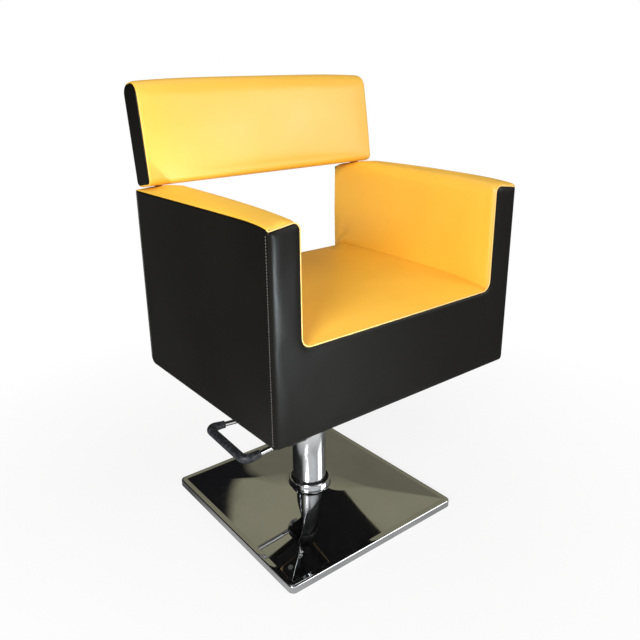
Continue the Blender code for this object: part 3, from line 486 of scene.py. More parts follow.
def inward(rim):
    """Inward direction at each point of an outline that runs anticlockwise."""
    ahead = np.roll(rim, -1, 0) - np.roll(rim, 1, 0)
    normal = np.stack([-ahead[:, 1], ahead[:, 0]], 1)
    return normal / np.linalg.norm(normal, axis=1)[:, None]


def offset(section, inset):
    return section + inward(section) * np.reshape(inset, (-1, 1))


def mirrored(corners):
    return corners + [(-x, z, radius) for x, z, radius in reversed(corners)]


def distances(points, rim):
    """Distance of each point from a closed outline."""
    best = np.full(len(points), np.inf)
    for start, step in zip(rim, np.roll(rim, -1, 0) - rim):
        along = np.clip((points - start) @ step / (step @ step), 0, 1)
        gap = np.linalg.norm(points - start - along[:, None] * step, axis=1)
        best = np.minimum(best, gap)
    return best


def inside(points, rim):
    hit = np.zeros(len(points), bool)
    for (ax, ay), (bx, by) in zip(rim, np.roll(rim, -1, 0)):
        if ay != by:
            crosses = (ay > points[:, 1]) != (by > points[:, 1])
            hit ^= crosses & (points[:, 0] < (bx - ax) * (points[:, 1] - ay) / (by - ay) + ax)
    return hit


def field(outline, spacing, insets):
    """Net of triangles in an outline, finer along its edge: points, faces and edge distances."""
    rim = resampled(outline, spacing)
    loops = [rim]
    for inset in insets:
        ring = rim + inward(rim) * inset
        loops.append(ring[inside(ring, rim) & (distances(ring, rim) > inset * RING_KEEP)])
    start, end = rim.min(0), rim.max(0)
    rows = np.arange(start[1], end[1], spacing * sqrt(3) / 2)
    net = np.array([(x + spacing / 2 * (row % 2), y) for row, y in enumerate(rows)
                    for x in np.arange(start[0], end[0], spacing)])
    net = net[inside(net, rim)]
    net = net[distances(net, rim) > insets[-1] + spacing * NET_CLEAR]
    points = [Vector(point) for point in np.vstack(loops + [net])]
    found = delaunay_2d_cdt(points, [], [list(range(len(rim)))], 1, 1e-6)
    flat = np.array([tuple(point) for point in found[0]])
    return flat, [list(face) for face in found[2]], distances(flat, rim)


def roll(distance, radius, depth):
    """How far a round edge has fallen away at a distance inside it."""
    share = np.clip(1 - distance / radius, 0, 1)
    return depth * (1 - np.sqrt(1 - share ** 2))


def smooth(share):
    share = np.clip(share, 0, 1)
    return share * share * (3 - 2 * share)


def waver(points, shift, size, amount):
    """Slow unevenness of stretched vinyl over foam; each shift gives another pattern."""
    return np.array([noise.noise(Vector(point) / size) for point in points + shift]) * amount


def fold(points, start, end, width):
    """Ridge of height 1 along a segment, fading to both ends."""
    start, end = np.array(start), np.array(end)
    step = end - start
    along = (points - start) @ step / (step @ step)
    nearest = start + np.clip(along, 0, 1)[:, None] * step
    across = np.linalg.norm(points - nearest, axis=1)
    return np.exp(-(across / width) ** 2) * smooth(along * 4) * smooth((1 - along) * 2)


def net_mesh(points, faces):
    mesh = bmesh.new()
    verts = [mesh.verts.new(point) for point in points]
    for face in faces:
        mesh.faces.new([verts[index] for index in face])
    return mesh


def piece(name, points, faces, look, body, slot, replaced=(), outward=None, crease=CREASE):
    """A named mesh that rides on a body, closed faces outward unless a direction is given."""
    mesh = net_mesh(points, faces)
    mesh.normal_update()
    if outward is None:
        bmesh.ops.recalc_face_normals(mesh, faces=mesh.faces)
    else:
        facing = sum((face.normal * face.calc_area() for face in mesh.faces), Vector())
        if facing.dot(Vector(outward)) < 0:
            bmesh.ops.reverse_faces(mesh, faces=mesh.faces)
    return dressed(name, mesh, look, body, replaced, crease)


def dressed(name, mesh, look, body, replaced=(), crease=CREASE):
    """Turn a built mesh into a piece with its look and body."""
    data = bpy.data.meshes.new(name)
    mesh.to_mesh(data)
    mesh.free()
    data.shade_smooth()
    data.set_sharp_from_angle(angle=crease)
    data.materials.clear()
    data.materials.append(look.material)
    shape = bpy.data.objects.new(name, data)
    bpy.context.scene.collection.objects.link(shape)
    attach(shape, body)
    if replaced:
        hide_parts(*replaced)
    return shape


def skin(shape, thickness=SHEET):
    """Give an open sheet its thickness on the inner side."""
    wall = shape.modifiers.new("sheet", "SOLIDIFY")
    wall.thickness = thickness
    wall.offset = -1


def ring_faces(rings, count, closed=False):
    faces = []
    for ring in range(rings if closed else rings - 1):
        here, there = ring * count, (ring + 1) % rings * count
        for i in range(count):
            after = (i + 1) % count
            faces.append([here + i, here + after, there + after, there + i])
    return faces


def joined(rings):
    return [tuple(point) for ring in rings for point in ring]


def lofted(name, rings, look, body, slot, replaced=(), capped=True, **more):
    """Body through rings of equal point counts."""
    count = len(rings[0])
    points = joined(rings)
    faces = ring_faces(len(rings), count)
    if capped:
        faces += [list(range(count)), list(range(len(points) - count, len(points)))]
    return piece(name, points, faces, look, body, slot, replaced, **more)


def turned(name, corners, look, body, slot, replaced, steps=128, place=Matrix.Identity(4)):
    """Spin a closed half section of (radius, height, rounding) corners that stays off the axis."""
    section = filleted(corners, 4)
    rings = []
    for step in range(steps):
        angle = 2 * pi * step / steps
        rings.append([place @ Vector((r * cos(angle), r * sin(angle), h)) for r, h in section])
    faces = ring_faces(steps, len(section), closed=True)
    piece(name, joined(rings), faces, look, body, slot, replaced)


def rod_rings(route, radii, spokes):
    """Round rings along a route; spokes are (angle, share of the radius) pairs."""
    points = [Vector(point) for point in route]
    steps = [(after - here).normalized() for here, after in zip(points, points[1:])]
    bends = [(a + b).normalized() for a, b in zip(steps, steps[1:])]
    headings = [steps[0]] + bends + [steps[-1]]
    normal = headings[0].orthogonal().normalized()
    rings = []
    for centre, ahead, radius in zip(points, headings, radii):
        normal = (normal - ahead * normal.dot(ahead)).normalized()
        side = ahead.cross(normal)
        rings.append([centre + (normal * cos(angle) + side * sin(angle)) * radius * share
                      for angle, share in spokes])
    return rings


def circle(steps):
    return [(2 * pi * step / steps, 1.0) for step in range(steps)]


def rod(name, route, radius, look, body, slot, replaced=(), steps=20):
    rings = rod_rings(route, [radius] * len(route), circle(steps))
    lofted(name, rings, look, body, slot, replaced)


def refined(node, look, edge=0.0005):
    """A copy of a plain solid with its facets smoothed and its sharp edges broken."""
    mesh = bmesh.new()
    mesh.from_mesh(frame["nodes"][node].data)
    bmesh.ops.remove_doubles(mesh, verts=mesh.verts, dist=0.00001)
    bmesh.ops.dissolve_limit(mesh, angle_limit=radians(1), verts=mesh.verts, edges=mesh.edges)
    sharp = [e for e in mesh.edges
             if len(e.link_faces) == 2 and e.calc_face_angle(0) > radians(40)]
    bmesh.ops.bevel(mesh, geom=sharp, offset=edge, segments=2, profile=0.5, affect="EDGES",
                    clamp_overlap=True)
    body = frame["nodes"][node]["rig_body"]
    dressed(node + "_finish", mesh, look, body, (node,), radians(33))


# Cloth
def coordinates(data, key="co"):
    flat = np.empty(len(data.vertices) * 3, np.float32)
    data.vertices.foreach_get(key, flat)
    return flat.reshape(-1, 3).astype(float)


def set_coordinates(data, points):
    data.vertices.foreach_set("co", points.astype(np.float32).ravel())
    data.update()


def inflate(shape, held, pressure, cap, frames=20):
    """Swell the free part of a padded piece as cloth under pressure, outward and up to the cap."""
    start = coordinates(shape.data)
    group = shape.vertex_groups.new(name="held")
    group.add([int(index) for index in np.flatnonzero(held)], 1.0, "REPLACE")
    cloth = shape.modifiers.new("cloth", "CLOTH")
    cloth.settings.quality = 5
    cloth.settings.mass = 0.2
    cloth.settings.tension_stiffness = 12
    cloth.settings.compression_stiffness = 12
    cloth.settings.shear_stiffness = 6
    cloth.settings.bending_stiffness = 0.6
    cloth.settings.use_pressure = True
    cloth.settings.uniform_pressure_force = pressure
    cloth.settings.vertex_group_mass = group.name
    cloth.settings.effector_weights.gravity = 0
    cloth.collision_settings.use_collision = False
    cloth.point_cache.frame_start = 1
    cloth.point_cache.frame_end = frames
    scene = bpy.context.scene
    for number in range(1, frames + 1):
        scene.frame_set(number)
    moved = coordinates(shape.evaluated_get(bpy.context.evaluated_depsgraph_get()).data)
    shape.modifiers.remove(cloth)
    shape.vertex_groups.remove(group)
    scene.frame_set(1)
    normals = coordinates(shape.data, "normal")
    swell = np.maximum(0, np.sum((moved - start) * normals, axis=1))
    set_coordinates(shape.data, start + normals * (cap * np.tanh(swell / cap))[:, None])


# Upholstery
def arm_edge(y):
    """Top of the solids' black sides, which fall towards the front."""
    return ARM_FRONT_EDGE + (ARM_REAR_EDGE - ARM_FRONT_EDGE) * (y - FRONT) / (REAR - FRONT)


def side_seam(y):
    """Seam between the sides and the arm pads, which dips to the front corner."""
    level = ARM_REAR_EDGE - SEAM_FALL * (REAR - y) / (REAR - FRONT)
    return level - SEAM_DIP * np.exp((FRONT - y) / SEAM_DIP_LENGTH)


def arm_crest(y):
    """Crest of the arm pads, which stay clear of the back bar's underside."""
    swell = ARM_SWELL * (1 - np.exp((FRONT - y) / ARM_FADE))
    ahead = BACK_FRONT - y
    slope = PAD_FULL_SLOPE if ahead > 0 else tan(BACK_LEAN)
    return min(arm_edge(y) + ARM_RISE + PAD_FULL + swell, BACK_BOTTOM - BACK_CLEAR + slope * ahead)


def front_corners(inset):
    """Right half of the arms' and seat's front outline, inside the yellow edge by the inset."""
    inner = ARM_INNER + inset
    return [(SIDE, side_seam(FRONT), CORNER_TOP_OUT),
            (inner, arm_crest(FRONT) - inset, CORNER_TOP_IN - inset),
            (inner, SEAT_EDGE - inset, CORNER_SEAT)]


def make_front_panel():
    """Front panel, padded: it rolls onto the sides, under the bottom and to the yellow seam."""
    outline = filleted(mirrored([(SIDE, BOTTOM, CORNER_FRONT)] + front_corners(PANEL_INSET)))
    insets = (0.0004, 0.0012, 0.0024, 0.004, 0.006, 0.009, 0.0125, 0.0175)
    flat, faces, edge = field(outline, 0.0075, insets)
    x, z = flat.T
    falls = (roll(SIDE - np.abs(x), WRAP_WIDTH, WRAP), roll(z - BOTTOM, HEM_WIDTH, HEM),
             roll(edge, TUCK_WIDTH, TUCK))
    depth = np.sqrt(sum(fall ** 2 for fall in falls))
    points = np.stack([x, FRONT - BULGE + depth, z], 1)
    points[:, 1] += waver(points, 0, size=0.10, amount=0.0010) * smooth(edge / 0.03)
    points[:, 1] += waver(points, 9, size=0.03, amount=0.0003) * smooth(edge / 0.02)
    skin(piece("front_panel", points, faces, BLACK, "seat", "black_vinyl", ("front_cover",),
               (0, -1, 0)))


def make_side_panel(name, side):
    """Side panel with a curved top, and its stitching along the front and rear."""
    seam = FRONT - BULGE + WRAP + SEAM
    stations = seam + (REAR - seam) * np.linspace(1, 0, 28) ** 2
    corners = [(seam, BOTTOM, 0.002), (REAR, BOTTOM, CORNER_REAR)]
    corners += [(y, side_seam(y) - SEAM, 0) for y in stations]
    flat, faces, edge = field(filleted(corners), 0.010, (0.0004, 0.0012, 0.0025, 0.005))
    y, z = flat.T
    points = np.stack([SIDE - roll(edge, SIDE_EDGE_WIDTH, SIDE_EDGE), y, z], 1)
    uneven = waver(points, 3, size=0.14, amount=0.0008) * smooth(edge / 0.05)
    points[:, 0] += uneven - SIDE_SINK
    points[:, 0] *= side
    skin(piece(name + "_side_panel", points, faces, BLACK, "seat", "black_vinyl",
               (name + "_side_cover",), (side, 0, 0)))
    face = side * (SIDE - STITCH_SINK)
    rows = (("front", seam + STITCH_FRONT, 0.008), ("rear", REAR - STITCH_REAR, 0.022))
    for where, y, start in rows:
        levels = np.arange(BOTTOM + start, side_seam(y) - 0.006, STITCH_PITCH)
        stitches("%s_%s_stitching" % (name, where), [(face, y, z) for z in levels], (side, 0, 0))


def stitches(name, places, outward):
    """Upright row of short thread stitches, half sunk in the vinyl."""
    along, outward = Vector((0, 0, 1)), Vector(outward)
    across = along.cross(outward)
    rings = ((-1.0, 0.25), (-0.75, 0.75), (-0.3, 1.0), (0.3, 1.0), (0.75, 0.75), (1.0, 0.25))
    spokes = [across * cos(angle) + outward * sin(angle) for angle, _ in circle(STITCH_SIDES)]
    net = ring_faces(len(rings), STITCH_SIDES)
    last = (len(rings) - 1) * STITCH_SIDES
    net += [list(range(STITCH_SIDES)), list(range(last, last + STITCH_SIDES))]
    points, faces = [], []
    for number, place in enumerate(places):
        slant = across * (STITCH_SLANT if number % 2 else -STITCH_SLANT)
        faces += [[len(points) + index for index in face] for face in net]
        for reach, full in rings:
            centre = Vector(place) + (along * STITCH_HALF + slant) * reach
            centre -= outward * STITCH_DIP * (1 - full)
            points += [centre + spoke * STITCH_RADIUS * full for spoke in spokes]
    piece(name, points, faces, THREAD, "seat", "black_vinyl")


def make_rear_panel():
    """Rear panel: both arm ends, the strip below the opening, and its turn-in under the seat."""
    top = arm_edge(REAR) - SEAM
    arc = CORNER_REAR * pi / 2
    bend = BOTTOM + CORNER_REAR
    inner = ARM_INNER + PANEL_INSET
    right = [(SIDE, bend - arc - COVER_TURN, 0.002), (SIDE, top, 0.003), (inner, top, 0.004),
             (inner, REAR_EDGE, 0.008)]
    flat, faces, edge = field(filleted(mirrored(right)), 0.009, (0.0004, 0.0012, 0.0024, 0.004))
    x, level = flat.T
    depth = roll(edge, PANEL_EDGE, PANEL_EDGE)
    sheet = np.stack([x, level, level * 0], 1)
    depth -= waver(sheet, 7, size=0.13, amount=0.0005) * smooth(edge / 0.04)
    angle = np.clip((bend - level) / CORNER_REAR, 0, pi / 2)
    past = np.clip(bend - arc - level, 0, None)
    radius = CORNER_REAR - depth
    y = REAR - CORNER_REAR + radius * np.cos(angle) - past
    z = np.maximum(level, bend) - radius * np.sin(angle)
    x = np.clip(x, -SIDE + SIDE_SINK, SIDE - SIDE_SINK)
    skin(piece("rear_panel", np.stack([x, y, z], 1), faces, BLACK, "seat", "black_vinyl",
               ("rear_cover",), (0, 1, 0)))


def make_front_welt():
    """Piping round the arms' fronts and along the seat's front edge."""
    corners = front_corners(PANEL_INSET - WELT_OUT)
    corners[0] = (SIDE - 0.0016, corners[0][1] + 0.0006, 0)
    y = FRONT - BULGE + TUCK + WELT_BACK
    turn = FRONT - BULGE + WRAP + WELT_TURN
    route = [(x, y, z) for x, z in filleted(mirrored(corners))]
    right, left = ((side * (SIDE - WELT), turn, side_seam(turn) + 0.0002) for side in (1, -1))
    rod("front_welt", finer([right] + route + [left], 0.005), WELT, PIPING, "seat", "yellow_vinyl",
        steps=14)


def arm_corners(y):
    """Section of an arm pad: full inner face, crowned top, lip above the frame and side panel."""
    edge = side_seam(y)
    under = arm_edge(y) - FRAME_DROP
    crest = arm_crest(y)
    rise = crest - edge
    inner = ARM_INNER + ARM_BULGE
    return [(inner, FOAM_BOTTOM, 0), (PAD_OUTER, FOAM_BOTTOM, 0), (PAD_OUTER, under, 0),
            (FRAME_OUTER, under, 0), (FRAME_OUTER, edge, 0), (SIDE, edge, 0),
            (SIDE, edge + SHOULDER * rise, SHOULDER_ROUND * rise),
            (SIDE - CREST_SHARE * ARM_WIDTH, crest, CORNER_TOP_IN),
            (inner, crest - CREST_FALL, CORNER_TOP_IN),
            (ARM_INNER, (SEAT_EDGE + crest) / 2, ARM_WIDTH)]


def make_arm_pad(name, side):
    """Arm pad: full inner face and crowned top, which fall to the front seam."""
    length = PAD_REAR + PAD_TURN - PAD_FRONT
    model = filleted(arm_corners(0.0), 6)
    counts = [max(1, ceil((after - here).length / SECTION_STEP))
              for here, after in zip(model, model[1:] + model[:1])]
    stations = RINGS_NEAR_END + [0.014] + list(np.linspace(0.020, length - 0.014, 66))
    stations += [length - span for span in RINGS_NEAR_END[5::-1]]
    rings = []
    for along in stations:
        y = PAD_FRONT + along
        ring = subdivided(filleted(arm_corners(y), 6), counts)
        lip = smooth((ring[:, 0] - SIDE + LIP_START) / LIP_FADE)
        fall = roll(along, PAD_ROLL_WIDTH, PAD_ROLL) + roll(length - along, PAD_END_WIDTH, PAD_END)
        ring = offset(ring, PAD_GAP + fall * (1 - LIP_HOLD * lip))
        rings.append(np.stack([side * ring[:, 0], np.full(len(ring), y), ring[:, 1]], 1))
    pad = lofted(name + "_arm_vinyl", rings, YELLOW, "seat", "yellow_vinyl", (name + "_arm_pad",))
    x, y, z = coordinates(pad.data).T
    below_seat = z < SEAT_EDGE - 0.012
    at_seam = (x * side > PAD_OUTER - 0.004) & (z < side_seam(y) + 0.002)
    at_ends = (y < PAD_FRONT + 0.003) | (y > PAD_REAR - 0.004)
    below_back = (y > BACK_FRONT - 0.010) & (z > BACK_BOTTOM - 0.020)
    inflate(pad, below_seat | at_seam | at_ends | below_back, pressure=5.0, cap=0.0028)
    points = coordinates(pad.data)
    inner_face = smooth((ARM_INNER + 0.012 - points[:, 0] * side) / 0.008)
    corner_y, corner_z = PAD_REAR - 0.004, SEAT_EDGE + SEAT_RISE + 0.010
    # Folds from the rear corner of the seat: reach forward, reach up, width and height
    folds = ((0.075, 0.030, 0.007, 0.0042), (0.058, 0.062, 0.008, -0.0034),
             (0.110, 0.018, 0.006, 0.0026), (0.030, 0.085, 0.007, 0.0024))
    for forward, up, width, height in folds:
        end = (corner_y - forward, corner_z + up)
        ridge = fold(points[:, 1:], (corner_y, corner_z), end, width)
        points[:, 0] -= side * height * ridge * inner_face
    points[:, 0] += side * waver(points, 2, size=0.09, amount=0.0007) * inner_face
    set_coordinates(pad.data, points)


def make_seat_cushion():
    """Seat cushion: its top rolls to the front seam and sweeps up onto the arms."""
    half = ARM_INNER + SEAT_REACH
    corners = [(x, y, SEAT_CORNER) for x, y in ((-half, PAD_FRONT), (half, PAD_FRONT),
                                                (half, PAD_REAR), (-half, PAD_REAR))]
    insets = (0.0006, 0.0018, 0.0036, 0.006, 0.009, 0.013, 0.020)
    flat, faces, _ = field(filleted(corners), 0.010, insets)
    x, y = flat.T
    v = (y - (PAD_FRONT + PAD_REAR) / 2) / (PAD_REAR - PAD_FRONT) * 2
    height = SEAT_EDGE + SEAT_CROWN * (1 - v ** 4) + SEAT_RISE * (1 + v) / 2 - PAD_GAP
    height -= roll(y - PAD_FRONT, SEAT_ROLL_WIDTH, SEAT_ROLL)
    height -= roll(PAD_REAR - y, SEAT_BACK_WIDTH, SEAT_BACK)
    border = smooth((y - PAD_FRONT) / SEAT_SWEEP_FADE) * smooth((PAD_REAR - y) / SEAT_SWEEP_FADE)
    height += roll(half - np.abs(x), SEAT_SWEEP_WIDTH, SEAT_SWEEP) * border
    for side in (1, -1):    # a fold from each front corner
        ends = (side * 0.238, PAD_FRONT + 0.010), (side * 0.216, PAD_FRONT + 0.060)
        height += 0.0012 * fold(flat, *ends, width=0.006)
    mesh = net_mesh(np.stack([x, y, height], 1), faces)
    for level in np.linspace(SEAT_EDGE - 0.016, FOAM_BOTTOM, 6):
        rim = [e for e in mesh.edges if e.is_boundary]
        for made in bmesh.ops.extrude_edge_only(mesh, edges=rim)["geom"]:
            if isinstance(made, bmesh.types.BMVert):
                made.co.z = level
    bmesh.ops.contextual_create(mesh, geom=[e for e in mesh.edges if e.is_boundary])
    bmesh.ops.recalc_face_normals(mesh, faces=mesh.faces)
    cushion = dressed("seat_cushion_vinyl", mesh, YELLOW, "seat", ("seat_cushion",))
    points = coordinates(cushion.data)
    held = (points[:, 2] < SEAT_EDGE - 0.010) | (points[:, 1] < PAD_FRONT + 0.002)
    inflate(cushion, held, pressure=4.0, cap=0.006)
    points = coordinates(cushion.data)
    points[:, 2] += waver(points, 5, size=0.16, amount=0.0010) * (points[:, 2] > SEAT_EDGE)
    set_coordinates(cushion.data, points)


def back_corners(across):
    """Section of the back bar at -1 to 1 across its width, as (depth, height)."""
    bulge = BACK_END_BULGE + (BACK_BULGE - BACK_END_BULGE) * (1 - across ** 10)
    top = BACK_HEIGHT + BACK_CROWN * (1 - across ** 4)
    return [(BACK_BULGE, 0, BACK_LOW), (BACK_THICK, 0, BACK_LOW), (BACK_THICK, top, BACK_TOP_REAR),
            (BACK_BULGE, top, BACK_TOP_FRONT), (BACK_BULGE - bulge, top / 2, BACK_HEIGHT / 4)]


def make_back():
    """Back bar: a yellow vinyl sleeve that rolls into two black ends."""
    tilt = np.array(Matrix.Translation((0, BACK_FRONT, BACK_BOTTOM))
                    @ Matrix.Rotation(-BACK_LEAN, 4, "X"))

    def placed(points):
        return np.asarray(points) @ tilt[:3, :3].T + tilt[:3, 3]

    end = SIDE - BACK_END
    near = RINGS_NEAR_END + [0.013]
    stations = near + list(np.linspace(0.018, 2 * end - 0.018, 84))
    stations += [2 * end - span for span in reversed(near)]
    count = len(resampled(filleted(back_corners(0)), SECTION_STEP))
    rings = []
    for along in stations:
        ring = even(filleted(back_corners(along / end - 1)), count)
        fall = roll(min(along, 2 * end - along), BACK_ROLL_WIDTH, BACK_ROLL)
        ring = offset(ring, fall - BACK_FULL)
        rings.append(placed(np.column_stack([np.full(count, along - end), ring])))
    pad = lofted("back_vinyl", rings, YELLOW, "seat", "yellow_vinyl", ("back_pad",))
    points = coordinates(pad.data)
    local = (points - tilt[:3, 3]) @ tilt[:3, :3]
    at_rear = local[:, 1] > BACK_THICK * 0.72
    at_ends = np.abs(points[:, 0]) > end - 0.004
    at_bottom = local[:, 2] < 0.006
    inflate(pad, at_rear | at_ends | at_bottom, pressure=4.0, cap=0.0030)

    outline = offset(resampled(filleted(back_corners(1)), 0.005), BACK_END_INSET)
    insets = (0.0004, 0.0012, 0.0025, 0.0045, 0.007)
    flat, faces, edge = field([Vector(point) for point in outline], 0.006, insets)
    reach = end + (BACK_END - roll(edge, BACK_END_ROLL_WIDTH, BACK_END_ROLL))
    for name, side in (("left", -1), ("right", 1)):
        points = placed(np.column_stack([side * reach, flat]))
        skin(piece(name + "_back_panel", points, faces, BLACK, "seat", "black_vinyl",
                   (name + "_back_end",), (side, 0, 0)), BACK_END)


# Metal and rubber
def square_ring(half, corner, height, steps=20):
    """Square with round corners at one height, a circle where the corner equals the half width."""
    ring = []
    for quarter in range(4):
        heading = quarter * pi / 2
        centre = Matrix.Rotation(heading, 2) @ Vector((half - corner, half - corner))
        for step in range(steps + 1):
            angle = heading + step / steps * pi / 2
            ring.append((centre.x + corner * cos(angle), centre.y + corner * sin(angle), height))
    return ring


def make_base():
    """Base shell, whose flange and four faces rise to a round neck, and its collar."""
    roll_bottom = RIM_TOP - RIM_ROLL
    rings = [square_ring(BASE_HALF, BASE_CORNER, level) for level in (RIM_LIFT, roll_bottom)]
    for step in range(1, 13):
        angle = step / 12 * pi / 2
        inset = RIM_ROLL * (1 - cos(angle))
        level = roll_bottom + RIM_ROLL * sin(angle)
        rings.append(square_ring(BASE_HALF - inset, BASE_CORNER - inset, level))
    half, corner = BASE_HALF - RIM_ROLL, BASE_CORNER - RIM_ROLL
    for inset in (0.004, 0.008, FLANGE - 0.0004, FLANGE):
        turn = corner + (FLANGE_CORNER - corner) * inset / FLANGE
        rings.append(square_ring(half - inset, turn, RIM_TOP))
    half -= FLANGE
    flare_start = (half - NECK_RADIUS - FLARE_WIDTH) / (half - NECK_RADIUS)
    for share in [0.003] + [step / 48 for step in range(1, 49)]:
        width = half + (NECK_RADIUS - half) * share
        crease = FLANGE_CORNER + (FLARE_CORNER - FLANGE_CORNER) * min(1.0, share / flare_start)
        corner = crease + (width - crease) * smooth((share - flare_start) / (1 - flare_start))
        rise = (1 - FLARE_BEND) * share + FLARE_BEND * share ** 4
        rings.append(square_ring(width, corner, RIM_TOP + (NECK_TOP - RIM_TOP) * rise))
    shell = lofted("base_chrome", rings, CHROME, "base", "chrome", ("base_shell",), capped=False,
                   outward=(0, 0, 1), crease=radians(25))
    skin(shell, SHELL_WALL)

    outer = high("collar_ring").x
    inner = outer - COLLAR_SKIRT
    foot = low("collar_ring").z + COLLAR_LIFT
    top = high("collar_ring").z + COLLAR_LIFT
    under = top - COLLAR_PLATE
    section = [(COLLAR_HOLE, top, 0.0006), (outer, top, 0.0018), (outer, foot, 0.0008),
               (inner, foot, 0.0003), (inner, under, 0), (COLLAR_HOLE, under, 0.0006)]
    turned("collar_chrome", section, CHROME, "base", "chrome", ("collar_ring",))


def make_column():
    """Column casing and the ram inside it."""
    foot, top = (corner.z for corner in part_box("pump_casing"))
    outer = high("pump_casing").x
    inner = outer - CASING_WALL
    section = [(inner, top, 0.0004), (outer, top, 0.0008), (outer, foot, 0.0004),
               (inner, foot, 0.0004)]
    turned("casing_chrome", section, SATIN, "pump", "chrome", ("pump_casing",))
    foot, top = (corner.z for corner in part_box("ram"))
    outer = high("ram").x
    section = [(RAM_BORE, top, 0), (outer, top, 0.0006), (outer, foot, 0.0006), (RAM_BORE, foot, 0)]
    turned("ram_chrome", section, CHROME, "seat", "chrome", ("ram",))


def bar_route(start):
    """Centre line of the bar: out along one splayed arm, across, and back along the other."""
    half = HUB_SPREAD + (ARM_SPREAD - HUB_SPREAD) * start / BAR_REACH
    corners = [(-start, -half, 0), (-BAR_REACH, -ARM_SPREAD, BEND_RADIUS),
               (-BAR_REACH, ARM_SPREAD, BEND_RADIUS), (-start, half, 0)]
    return finer([(x, y, 0) for x, y in filleted(corners, 14)], 0.006)


def make_pedal():
    """Chrome bar with its two hubs, and the rubber grip, whose ribs end before the bends."""
    place = (Matrix.Rotation(PEDAL_YAW, 4, "Z") @ Matrix.Translation(PIVOT)
             @ Matrix.Rotation(-PEDAL_SLOPE, 4, "Y"))
    route = [place @ Vector(point) for point in bar_route(BAR_SEAT)]
    rod("bar_chrome", route, BAR_RADIUS, CHROME, "pedal", "chrome", ("pedal_bar",), 28)
    along_y = Matrix.Rotation(-pi / 2, 4, "X")
    half = HUB_LENGTH / 2
    section = [(HUB_BORE, half, 0.0002), (HUB_RADIUS, half, 0.0015), (HUB_RADIUS, -half, 0.0015),
               (HUB_BORE, -half, 0.0002)]
    for name, side in (("front", -1), ("rear", 1)):
        where = place @ Matrix.Translation((0, side * HUB_SPREAD, 0)) @ along_y
        turned(name + "_hub_chrome", section, CHROME, "pedal", "chrome", (name + "_pedal_hub",),
               64, where)

    route = bar_route(BAR_REACH - GRIP_REACH)
    steps = [(Vector(after) - Vector(here)).length for here, after in zip(route, route[1:])]
    lengths = np.concatenate([[0], np.cumsum(steps)])
    from_end = np.minimum(lengths, lengths[-1] - lengths)
    radii = GRIP_END_RADIUS + (GRIP_RADIUS - GRIP_END_RADIUS) * smooth(from_end / GRIP_TAPER)
    centres = [place @ Vector(point) for point in route]
    plain = circle(RIBS * RIB_POINTS)
    ribbed = [(angle, 1.0 - RIB_DEPTH * (1 + cos(angle * RIBS))) for angle, _ in plain]
    shares = smooth((from_end - RIB_START) / RIB_FADE)
    outer = [[a.lerp(b, share) for a, b in zip(first, second)] for first, second, share
             in zip(rod_rings(centres, radii, plain), rod_rings(centres, radii, ribbed), shares)]
    inner = rod_rings(centres, [GRIP_BORE] * len(route), plain)
    rings = outer + inner[::-1]
    faces = ring_faces(len(rings), len(plain), closed=True)
    piece("grip_rubber", joined(rings), faces, RUBBER, "pedal", "black_rubber", ("pedal_grip",),
          crease=radians(70))


def make_hardware():
    """Plain pieces, smoothed, and the looks of the solids that stay as they are."""
    for node in ("pump_head", "seat_plate", "left_back_bracket", "right_back_bracket"):
        refined(node, BLACKED)
    for node in ("pedal_shaft", "pedal_finger", "pump_plunger", "pedal_spring", "swivel_socket"):
        refined(node, STEEL)
    refined("wiper_seal", RUBBER, edge=0.0003)
    for corner in ("front_left", "front_right", "rear_right", "rear_left"):
        for kind in ("seat_bolt_", "socket_bolt_"):
            refined(kind + corner, STEEL, edge=0.0006)
    for node in frame["nodes"].values():
        slot = node.data.materials[0].name.split(".")[0]
        node.data.materials.clear()
        node.data.materials.append(LOOKS[slot].material)


# Stage
def lamp(name, place, target, size, power, colour=WHITE, spread=180):
    data = bpy.data.lights.new(name, "AREA")
    data.shape = "RECTANGLE"
    data.size, data.size_y = size
    data.spread = radians(spread)
    data.energy = power
    data.color = colour
    light = bpy.data.objects.new(name, data)
    light.location = place
    light.rotation_euler = (Vector(target) - Vector(place)).to_track_quat("-Z", "Y").to_euler()
    light.visible_camera = False
    bpy.context.scene.collection.objects.link(light)


def make_world():
    """Plain light, and white behind the object; metal shows an olive wall with a dark doorway."""
    world = bpy.data.worlds.new("studio")
    bpy.context.scene.world = world
    world.use_nodes = True
    nodes = Nodes(world.node_tree)
    light = nodes.tree.nodes["Background"]
    light.inputs["Color"].default_value = (1.0, 0.99, 0.97, 1.0)
    light.inputs["Strength"].default_value = 0.35
    heading = nodes.add("TexCoord", {}, "Generated")
    y, z = (nodes.add("SeparateXYZ", {"Vector": heading}, axis) for axis in "YZ")
    wall = nodes.mix(nodes.spread(z, 0.40, 0.68), (0.17, 0.16, 0.112), (0.29, 0.275, 0.19))
    doorway = nodes.spread(nodes.dot(heading, (-1, 0.488, -0.425)), -0.197, -0.181)
    doorway = nodes.math("MULTIPLY", doorway, nodes.spread(y, 0.0, 0.05))
    wall = nodes.mix(doorway, wall, (0.01, 0.01, 0.011))
    ahead = nodes.dot(heading, PHOTO_SIDE)
    front = nodes.mix(nodes.spread(ahead, 0.3, 0.8), (0.28, 0.29, 0.30), WHITE)
    room = nodes.mix(nodes.spread(y, -0.15, -0.05), front, wall)
    camera, glossy, through = nodes.rays()
    shown = nodes.add("Background", {"Color": nodes.mix(glossy, WHITE, room)})
    seen = nodes.math("MAXIMUM", nodes.math("MAXIMUM", camera, through), glossy)
    nodes.blend(seen, light.outputs[0], shown, "World Output")


